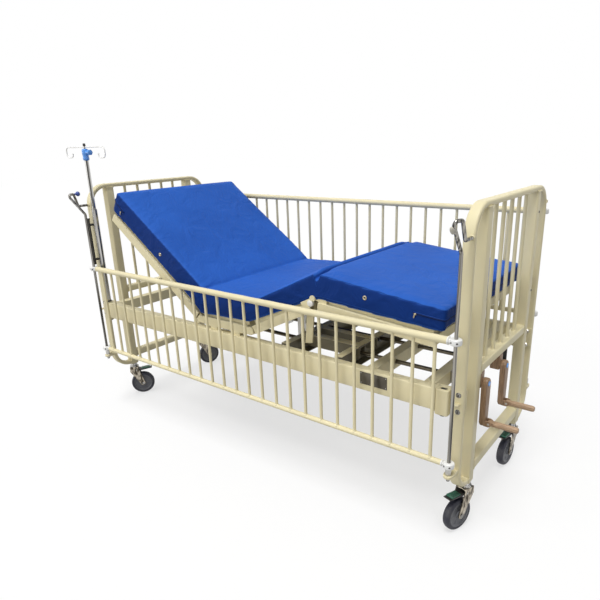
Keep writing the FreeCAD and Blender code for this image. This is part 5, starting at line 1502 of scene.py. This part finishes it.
@dataclass
class Caster:
    """One swivel caster: forged fork, wheel with grey hub, and brake pedal."""

    corner: str
    x: float
    y: float
    heading: float
    trail: float = 0.038
    radius: float = 0.0625
    cheek_y: float = 0.0205
    cheek_thick: float = 0.0048
    axle_end: float = 0.0228
    tread_half: float = 0.0150
    tread_rim: float = 0.0485
    spokes: int = 6
    spoke_at: float = 0.0285
    treads_on_pad: int = 6
    pad_lean: float = 5.5

    @property
    def place(self) -> Matrix:
        """The move from the caster's own axes to the bed's."""
        return Matrix.Translation((self.x, self.y, 0)) @ Matrix.Rotation(math.radians(self.heading), 4, "Z")

    @property
    def hub_middle(self) -> Vector:
        """The middle of the wheel, in the caster's own axes."""
        return Vector((self.trail, 0, self.radius))

    def fork(self) -> None:
        """Build the crown, the teardrop cheeks, the stem and the axle nuts."""
        shape = Shape()
        boss = arc(0.0125, 0.0125, math.radians(20), math.radians(-151), 9, (self.trail, self.radius))
        cheek = [(-0.0215, 0.1650), (-0.0235, 0.1380), (0.0060, 0.0930), *reversed(boss), (0.0300, 0.1310),
                 (0.0215, 0.1650)]
        for sign in (-1, 1):
            shape.prism(cheek, self.cheek_thick, (0, sign * self.cheek_y, 0), ALONG, UP, 0.0014)
        shape.block((0.001, 0, 0.1600), (0.046, 0.044, 0.0095), 0.003)
        shape.block((-0.018, 0, 0.1480), (0.009, 0.044, 0.030), 0.003)
        self.set_down(shape, "fork_plates", BRONZE, "caster", "caster_fork")
        metal = Shape()
        metal.lathe([(0.0100, 0.163), (0.0100, 0.222)], (0, 0, 0), UP)
        metal.band([(0.0183, 0.1652), (0.0215, 0.1652), (0.0226, 0.1665), (0.0226, 0.1690), (0.0215, 0.1702),
                    (0.0200, 0.1706), (0.0200, 0.1740), (0.0190, 0.1750), (0.0183, 0.1750)], (0, 0, 0), UP)
        metal.tube([self.hub_middle - ACROSS * self.axle_end, self.hub_middle + ACROSS * self.axle_end],
                   0.005, count=14)
        for sign in (-1, 1):
            out = ACROSS * sign
            metal.hexagon(self.hub_middle + out * 0.0226, out, 0.0085, 0.0028)
            metal.dome((0.012, sign * 0.0226, 0.147), out, 0.0042, 0.0018)
        self.set_down(metal, "axle_and_stem", CHROME, "caster")

    def wheel(self) -> None:
        """Build the tread and the dished grey hub with its bearing face."""
        tread = Shape()
        rim, half = self.tread_rim, self.tread_half
        side = [(rim, -half + 0.0008), (0.0540, -half), (0.0575, -half + 0.0012), (0.0605, -half + 0.0040),
                (0.0622, -half + 0.0080)]
        tread.band([*side, (self.radius, 0.0), *mirrored(side)], self.hub_middle, ACROSS, 56)
        self.set_down(tread, "tread", TREAD, "wheel", "caster_wheel")
        hub = Shape()
        dish = [(0.0052, -0.0162), (0.0125, -0.0162), (0.0140, -0.0150), (0.0160, -0.0112),
                (0.0300, -0.0098), (0.0410, -0.0108), (0.0440, -0.0138), (0.0488, -0.0140)]
        hub.band([*dish, *mirrored(dish)], self.hub_middle, ACROSS, 48)
        for i in range(self.spokes):
            spoke = Matrix.Rotation(-2 * math.pi / self.spokes * i, 3, "Y")
            middle = self.hub_middle + spoke @ (ALONG * self.spoke_at)
            for sign in (-1, 1):
                hub.block((middle.x, sign * 0.0100, middle.z), (0.022, 0.0035, 0.0045), 0.001, spoke, 1)
        self.set_down(hub, "hub", HUB, "wheel")

    def pedal(self) -> None:
        """Build the brake pedal with its green pad and dark frame."""
        lever = Shape()
        outline = [(0.0050, 0.1410), (0.0190, 0.1410), (0.0380, 0.1400), (0.0955, 0.1478), (0.0955, 0.1500),
                   (0.0360, 0.1490), (0.0050, 0.1530)]
        lever.prism(outline, 0.0335, (0, 0, 0), ALONG, UP, 0.0012)
        self.set_down(lever, "pedal_frame", BLACK, "pedal", "caster_pedal")
        pad = Shape()
        lean = Matrix.Rotation(-math.radians(self.pad_lean), 3, "Y")
        pad.block((0.0610, 0, 0.1500), (0.046, 0.0300, 0.0090), 0.0030, lean, 4)
        for i in range(self.treads_on_pad):
            pad.block((0.0445 + 0.0066 * i, 0, 0.1530 + 0.0006 * i), (0.0026, 0.024, 0.0036), 0.0012,
                      lean, 2)
        self.set_down(pad, "pedal_pad", PEDAL_GREEN, "pedal")

    def set_down(self, shape: Shape, name: str, finish: Look, body: str, node: str = "") -> None:
        """Move a shape from the caster's own axes to its corner and finish it.

        Args:
            shape: the shape.
            name: the piece's name, without its corner.
            finish: its finish.
            body: the body that carries it, without its corner.
            node: the CAD node that it stands for, without its corner.
        """
        shape.mesh.transform(self.place)
        shape.piece(f"{self.corner}_{name}", finish, f"{body}_{self.corner}",
                    [f"{node}_{self.corner}"] if node else [])

    def build(self) -> None:
        """Build the caster."""
        self.fork()
        self.wheel()
        self.pedal()


# ------------------------------------------------------------------ mattress

RIM_ANGLE = math.radians(50)
CLOTH = {"quality": 4, "mass": 0.25, "tension_stiffness": 22, "compression_stiffness": 8,
         "shear_stiffness": 8, "bending_stiffness": 0.8, "shrink_min": -0.012, "use_pressure": True,
         "uniform_pressure_force": 4.0}


class Number(IntEnum):
    """The material numbers of a cover segment's faces."""

    COVER = 0
    PIPING = 1
    TAPE = 2
    BRASS = 3


@dataclass(frozen=True)
class Segment:
    """One length of the cover: its cut planes and the sections that it lies on."""

    name: str
    replaces: tuple[str, ...]
    head_cut: tuple[float, float, float] | None
    foot_cut: tuple[float, float, float] | None
    bodies: tuple[Body, ...]
    start: tuple[float, float, float] = (0, 0, 0)
    end: tuple[float, float, float] = (0, 0, 0)


@dataclass
class Mattress:
    """The four-section mattress, simulated as one padded cover and cut at its creases."""

    half: float = 0.380
    corner: float = 0.020
    rim: float = 0.006
    voxel: float = 0.0085
    cap: float = 0.006
    skirt: float = 0.013
    back_skirt: float = 0.019
    crease_x: float = -0.205
    crease_deep: float = 0.0045
    crease_wide: float = 0.009
    skirt_y: tuple[float, float] = (0.3660, 0.3625)
    seam_step: float = 0.016
    quick_voxel: float = 0.014
    frames: int = 20
    zips: tuple[tuple[tuple[float, float, float], ...], ...] = (
        ((0.800, -0.392, 0.8215), (0.918, -0.392, 0.8115), (0.928, -0.350, 0.8105), (0.928, 0.350, 0.8105)),
        ((-0.700, -0.392, 1.058), (-0.775, -0.392, 1.122), (-0.784, -0.350, 1.128), (-0.784, 0.350, 1.128)))
    pulls_at: tuple[tuple[float, float], ...] = ((-0.7235, 1.0605), (0.808, 0.8190))
    eyelets_at: tuple[tuple[float, float], ...] = ((-0.4746, 0.8825), (0.616, 0.8433))
    top: tuple[tuple[float, float], ...] = (
        (-0.751, 1.155), (-0.205, 0.754), (0.112, 0.762), (0.3965, 0.906), (0.411, 0.850), (0.4255, 0.906),
        (0.916, 0.846))
    bottom: tuple[tuple[float, float], ...] = (
        (-0.799, 1.089), (-0.229, 0.661), (0.057, 0.661), (0.387, 0.818), (0.431, 0.822), (0.912, 0.779))
    segments: tuple[Segment, ...] = (
        Segment("mattress_back_cover", ("mattress_back",), None, (-0.040, 1.0, 0.0), (Body.BACK, Body.BED),
                (-0.2845, 0, 0.704), (-0.1515, 0, 0.660)),
        Segment("mattress_seat_cover", ("mattress_seat", "mattress_thigh"), (-0.040, 1.0, 0.0),
                (0.240, 0.8988, 0.4384), (Body.BED, Body.THIGH), (0.036, 0, 0.640), (0.133, 0, 0.664)),
        Segment("mattress_knee_cover", (), (0.240, 0.8988, 0.4384), (0.600, 0.9962, -0.0872),
                (Body.THIGH, Body.CALF), (0.398, 0, 0.830), (0.428, 0, 0.830)),
        Segment("mattress_foot_cover", ("mattress_calf",), (0.600, 0.9962, -0.0872), None, (Body.CALF,)))

    def blank(self) -> bpy.types.Object:
        """Build the cover's closed form before it is padded.

        Returns:
            The blank.
        """
        shape = Shape()
        outline = [*self.top, *reversed(self.bottom)]
        last = len(self.top)
        hem, flat = self.skirt_y
        rings = []
        for y, hangs in ((-self.half, 1), (-hem, 1), (-flat, 0), (flat, 0), (hem, 1), (self.half, 1)):
            ring = []
            for i, (x, z) in enumerate(outline):
                skirt = self.back_skirt if x < self.crease_x else self.skirt
                ring.append(Vector((x, y, z - hangs * skirt * (i >= last))))
            rings.append(shape.ring(ring))
        shape.skin(rings)
        mesh = shape.mesh
        ends = [mesh.edges.get((ring[i], ring[j])) for ring in (rings[0], rings[-1])
                for i, j in ((0, len(outline) - 1), (last - 1, last))]
        bmesh.ops.bevel(mesh, geom=ends, offset=self.corner, segments=5, profile=0.5, affect="EDGES")
        bmesh.ops.recalc_face_normals(mesh, faces=mesh.faces)
        rims = [edge for edge in mesh.edges if edge.calc_face_angle(0.0) > RIM_ANGLE and edge.is_convex]
        bmesh.ops.bevel(mesh, geom=rims, offset=self.rim, segments=3, profile=0.5, affect="EDGES",
                        clamp_overlap=True)
        return linked("cover_blank", written(mesh, "cover_blank"))

    def padded(self, item: bpy.types.Object) -> bpy.types.Mesh:
        """Remesh the blank, pad it by simulation and round it once.

        Args:
            item: the blank.

        Returns:
            The padded mesh.
        """
        remesh = item.modifiers.new("remesh", "REMESH")
        remesh.mode = "VOXEL"
        remesh.voxel_size = self.voxel
        remesh.use_smooth_shade = True
        self.apply(item)
        self.inflate(item)
        rounding = item.modifiers.new("rounding", "SUBSURF")
        rounding.levels = 1
        self.apply(item)
        for vertex in item.data.vertices:
            near = (vertex.co.x - self.crease_x) / self.crease_wide
            if vertex.normal.z > 0.3 and abs(near) < 3:
                vertex.co.z -= self.crease_deep * math.exp(-near * near)
        return item.data

    def inflate(self, item: bpy.types.Object) -> None:
        """Blow the cover up a little as cloth, by no more than the cap.

        Args:
            item: the remeshed blank.
        """
        rest = [vertex.co.copy() for vertex in item.data.vertices]
        cloth = item.modifiers.new("padding", "CLOTH")
        for name, value in CLOTH.items():
            setattr(cloth.settings, name, value)
        cloth.settings.effector_weights.gravity = 0.0
        cloth.point_cache.frame_start = 1
        cloth.point_cache.frame_end = self.frames
        for number in range(1, self.frames + 1):
            bpy.context.scene.frame_set(number)
        self.apply(item)
        bpy.context.scene.frame_set(1)
        for vertex, start in zip(item.data.vertices, rest):
            shift = vertex.co - start
            vertex.co = start + shift * min(1.0, self.cap / max(shift.length, 1e-9))

    def apply(self, item: bpy.types.Object) -> None:
        """Turn an object's modifiers into its mesh."""
        graph = bpy.context.evaluated_depsgraph_get()
        data = bpy.data.meshes.new_from_object(item.evaluated_get(graph))
        item.modifiers.clear()
        old = item.data
        item.data = data
        bpy.data.meshes.remove(old)

    def trims(self, tree: BVHTree) -> Shape:
        """Build the seams, zipper, pulls and eyelets that lie on the cover.

        Args:
            tree: the padded cover.

        Returns:
            The trims, with their finishes as face material numbers.
        """
        shape = Shape()
        for sign in (-1, 1):
            for line, lift in ((self.top, 0.004), (self.bottom, -0.004)):
                corners = [(x, sign * (self.half + 0.006), z + lift) for x, z in line]
                self.thread(shape, self.along(corners, tree, self.seam_step), 0.0011, Number.PIPING)
        for (x, z), way in ((self.top[-1], 1), (self.top[0], -1)):
            corners = [(x + way * 0.008, y, z + 0.004) for y in (-0.350, 0.350)]
            self.thread(shape, self.along(corners, tree, self.seam_step), 0.0013, Number.PIPING)
        for route in self.zips:
            line = self.along(route, tree, 0.010)
            self.thread(shape, line, 0.0034, Number.TAPE)
            self.thread(shape, [point + UP * 0.0035 for point in line], 0.0011, Number.PIPING)
        for x, z in self.pulls_at:
            self.pull(shape, tree, x, z)
        for x, z in self.eyelets_at:
            for sign in (-1, 1):
                self.eyelet(shape, tree, x, z, sign)
        return shape

    def along(self, corners: Sequence[tuple[float, float, float]], tree: BVHTree,
              step: float) -> list[Vector]:
        """Sample a polyline and drop its points onto the cover.

        Args:
            corners: its corners.
            tree: the padded cover.
            step: the distance between points.

        Returns:
            The points on the cover.
        """
        points: list[Vector] = []
        for first, second in zip(corners, corners[1:]):
            start, stop = Vector(first), Vector(second)
            count = max(2, int((stop - start).length / step))
            points += [start.lerp(stop, i / count) for i in range(count)]
        points.append(Vector(corners[-1]))
        found = [tree.find_nearest(point)[0] for point in points]
        kept = [found[0]]
        for point in found[1:]:
            if (point - kept[-1]).length > 0.35 * step:
                kept.append(point)
        return kept

    def thread(self, shape: Shape, route: list[Vector], radius: float, number: int) -> None:
        """Lay a thin cord along points on the cover.

        Args:
            shape: the shape that takes it.
            route: the points.
            radius: the cord's radius.
            number: the material number of its faces.
        """
        before = len(shape.mesh.faces)
        shape.tube(route, radius, count=8)
        self.number(shape, before, number)

    def number(self, shape: Shape, before: int, number: int) -> None:
        """Give the faces added since a count their material number."""
        shape.mesh.faces.ensure_lookup_table()
        for face in shape.mesh.faces[before:]:
            face.material_index = number

    def eyelet(self, shape: Shape, tree: BVHTree, x: float, z: float, sign: int) -> None:
        """Set one vent eyelet, a rolled ring round a dark mesh, in the cover's side.

        Args:
            shape: the shape that takes it.
            tree: the padded cover.
            x: its place along the bed.
            z: its level.
            sign: the side of the bed.
        """
        hit, normal, _, _ = tree.ray_cast(Vector((x, sign * 0.6, z)), Vector((0, -sign, 0)))
        if hit is None:
            return
        before = len(shape.mesh.faces)
        shape.band(arc(0.0026, 0.0020, 0, 1.8 * math.pi, 9, (0.0058, 0.0006)), hit, normal, 24)
        self.number(shape, before, Number.BRASS)
        before = len(shape.mesh.faces)
        shape.lathe([(0.0052, -0.0004), (0.0052, 0.0004)], hit, normal, count=20)
        self.number(shape, before, Number.TAPE)

    def pull(self, shape: Shape, tree: BVHTree, x: float, z: float) -> None:
        """Hang a zipper's slider and pull tab on the near side.

        Args:
            shape: the shape that takes it.
            tree: the padded cover.
            x: its place along the bed.
            z: its level.
        """
        hit, normal, _, _ = tree.ray_cast(Vector((x, -0.6, z)), Vector((0, 1, 0)))
        if hit is None:
            return
        before = len(shape.mesh.faces)
        shape.block(hit + normal * 0.003, (0.008, 0.004, 0.006), 0.0012)
        shape.block(hit + normal * 0.0042 + Vector((-0.003, 0, -0.007)), (0.0045, 0.0015, 0.014), 0.0006,
                    Matrix.Rotation(0.25, 3, "Y"))
        self.number(shape, before, Number.BRASS)

    def piece(self, whole: bmesh.types.BMesh, segment: Segment) -> None:
        """Cut one segment from the cover; one that lies on a single section rides on it.

        Args:
            whole: the cover with its trims.
            segment: which length.
        """
        mesh = whole.copy()
        for cut, keep_foot in ((segment.head_cut, True), (segment.foot_cut, False)):
            if cut is None:
                continue
            x, nx, nz = cut
            z = self.level(x)
            geometry = [*mesh.verts, *mesh.edges, *mesh.faces]
            bmesh.ops.bisect_plane(mesh, geom=geometry, plane_co=(x, 0, z), plane_no=(nx, 0, nz),
                                   clear_inner=keep_foot, clear_outer=not keep_foot)
            open_edges = [edge for edge in mesh.edges if edge.is_boundary]
            bmesh.ops.holes_fill(mesh, edges=open_edges)
            for edge in open_edges:
                edge.smooth = False
        for face in mesh.faces:
            face.smooth = True
        data = written(mesh, segment.name)
        item = linked(segment.name, data)
        numbers = [face.material_index for face in data.polygons]
        names = [body.value for body in segment.bodies]
        dress(item, COVER, names[0] if len(names) == 1 else None, segment.replaces)
        for finish in (PIPING_BLUE, TAPE_BLUE, BRASS):
            item.data.materials.append(PALETTE.material(finish))
        data.polygons.foreach_set("material_index", numbers)
        if len(names) == 2:
            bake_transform(item)
        else:
            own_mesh(item)

    def level(self, x: float) -> float:
        """Return the level of the cover's middle at a place along the bed."""
        heights = []
        for line in (self.top, self.bottom):
            for (xa, za), (xb, zb) in zip(line, line[1:]):
                if xa <= x <= xb:
                    heights.append(za + (zb - za) * (x - xa) / (xb - xa))
                    break
        return sum(heights) / len(heights)

    def build(self) -> None:
        """Build the cover, its trims and its four pieces."""
        item = self.blank()
        data = self.padded(item)
        whole = bmesh.new()
        whole.from_mesh(data)
        for face in whole.faces:
            face.material_index = Number.COVER
        tree = BVHTree.FromBMesh(whole)
        trims = self.trims(tree)
        bmesh.ops.recalc_face_normals(trims.mesh, faces=trims.mesh.faces)
        whole.from_mesh(written(trims.mesh, "cover_trims"))
        bpy.data.objects.remove(item)
        for segment in self.segments:
            self.piece(whole, segment)
        whole.free()


# ------------------------------------------------------------------ studio

@dataclass
class Studio:
    """The camera, the pale floor, the world and the lamps."""

    position: tuple[float, float, float] = (1.5504, -1.8741, 1.3579)
    yaw: float = 127.057
    pitch: float = -18.815
    roll: float = -1.568
    lens: float = 32.27
    shift: tuple[float, float] = (-0.0316, 0.038)
    ambient: float = 0.34
    floor_bounce: float = 0.42
    floor_shade: float = 0.90
    floor_glow: float = 0.64
    lamps_at: tuple[tuple[str, tuple[float, float, float], float, float], ...] = (
        ("key", (0.06, -0.30, 0.94), 2.35, 24), ("fill", (-0.50, -0.82, 0.28), 0.85, 40))

    def camera(self) -> None:
        """Set up the camera."""
        yaw, pitch, roll = (math.radians(value) for value in (self.yaw, self.pitch, self.roll))
        forward = Vector((math.cos(pitch) * math.cos(yaw), math.cos(pitch) * math.sin(yaw), math.sin(pitch)))
        level = Vector((math.sin(yaw), -math.cos(yaw), 0))
        raised = level.cross(forward)
        right = level * math.cos(roll) + raised * math.sin(roll)
        up = raised * math.cos(roll) - level * math.sin(roll)
        data = bpy.data.cameras.new("view")
        data.lens = self.lens
        data.sensor_width = 36
        data.shift_x, data.shift_y = self.shift
        data.clip_end = 60
        item = linked("view", data)
        turn = Matrix((right, up, -forward)).transposed().to_4x4()
        item.matrix_world = Matrix.Translation(self.position) @ turn
        bpy.context.scene.camera = item

    def seen(self, tree: Tree) -> bpy.types.NodeSocket:
        """Return 1 for camera, glossy and transmission rays, and 0 for the rest."""
        path = tree.node("ShaderNodeLightPath").outputs
        either = tree.math("MAXIMUM", path["Is Camera Ray"], path["Is Glossy Ray"])
        return tree.math("MAXIMUM", either, path["Is Transmission Ray"])

    def world(self) -> None:
        """Light evenly from all round, and show white behind."""
        world = bpy.data.worlds.new("studio_world")
        world.use_nodes = True
        tree = Tree(world.node_tree)
        strength = tree.math("MULTIPLY_ADD", self.seen(tree), 1.0 - self.ambient, self.ambient)
        ground = tree.node("ShaderNodeBackground", {"Color": (1, 1, 1, 1), "Strength": strength})
        tree.close(ground, "ShaderNodeOutputWorld")
        bpy.context.scene.world = world

    def floor(self) -> None:
        """Lay the pale floor, which keeps a soft shadow."""
        material, tree = fresh_material("pale_floor")
        seen = self.seen(tree)
        shade = tree.mix(seen, opaque([self.floor_bounce] * 3), opaque([self.floor_shade] * 3))
        cloth = tree.node("ShaderNodeBsdfDiffuse", {"Color": shade})
        glow = tree.node("ShaderNodeEmission", {"Color": (1, 1, 1, 1), "Strength": 1.0})
        share = tree.math("MULTIPLY", seen, self.floor_glow)
        tree.close(tree.node("ShaderNodeMixShader", {0: share, 1: cloth.outputs[0], 2: glow.outputs[0]}))
        shape = Shape()
        shape.block((0, 0, -0.011), (40, 40, 0.02), 0.0)
        data = written(shape.mesh, "studio_floor")
        data.materials.append(material)
        item = linked("studio_floor", data)

    def lamps(self) -> None:
        """Hang the soft key and one weak fill."""
        for name, toward, strength, spread in self.lamps_at:
            data = bpy.data.lights.new(name, "SUN")
            data.energy = strength
            data.angle = math.radians(spread)
            linked(name, data).rotation_euler = Vector(toward).to_track_quat("Z", "Y").to_euler()

    def build(self) -> None:
        """Build the studio."""
        bpy.context.scene.view_settings.view_transform = "Standard"
        self.camera()
        self.world()
        self.floor()
        self.lamps()


# ------------------------------------------------------------------ main

@dataclass
class Cot:
    """The whole cot: its sub-assemblies in the order that they are built."""

    parts: list[Any] = field(default_factory=lambda: [
        Studio(),
        EndFrames(),
        BedFrame(),
        SideRail("near", -1, 0.0, Body.NEAR_RAIL),
        SideRail("far", 1, 0.293, Body.FAR_RAIL),
        GuideRods(),
        Crank("back", -0.215, ("crank_housings",)),
        Crank("knee", -0.030, with_shade_blocks=True),
        DripPole(),
        Caster("near_foot", FOOT_X, -LEG_Y, -108),
        Caster("near_head", HEAD_X, -LEG_Y, 52),
        Caster("far_foot", FOOT_X, LEG_Y, -96),
        Caster("far_head", HEAD_X, LEG_Y, 66),
        Mattress()])

    def build(self) -> None:
        """Build every sub-assembly."""
        for part in self.parts:
            LOG.info("building %s", type(part).__name__)
            part.build()


def main() -> None:
    """Build the cot."""
    logging.basicConfig(level=logging.INFO, format="%(name)s %(message)s")
    Cot().build()


if __name__ == "__main__":
    main()
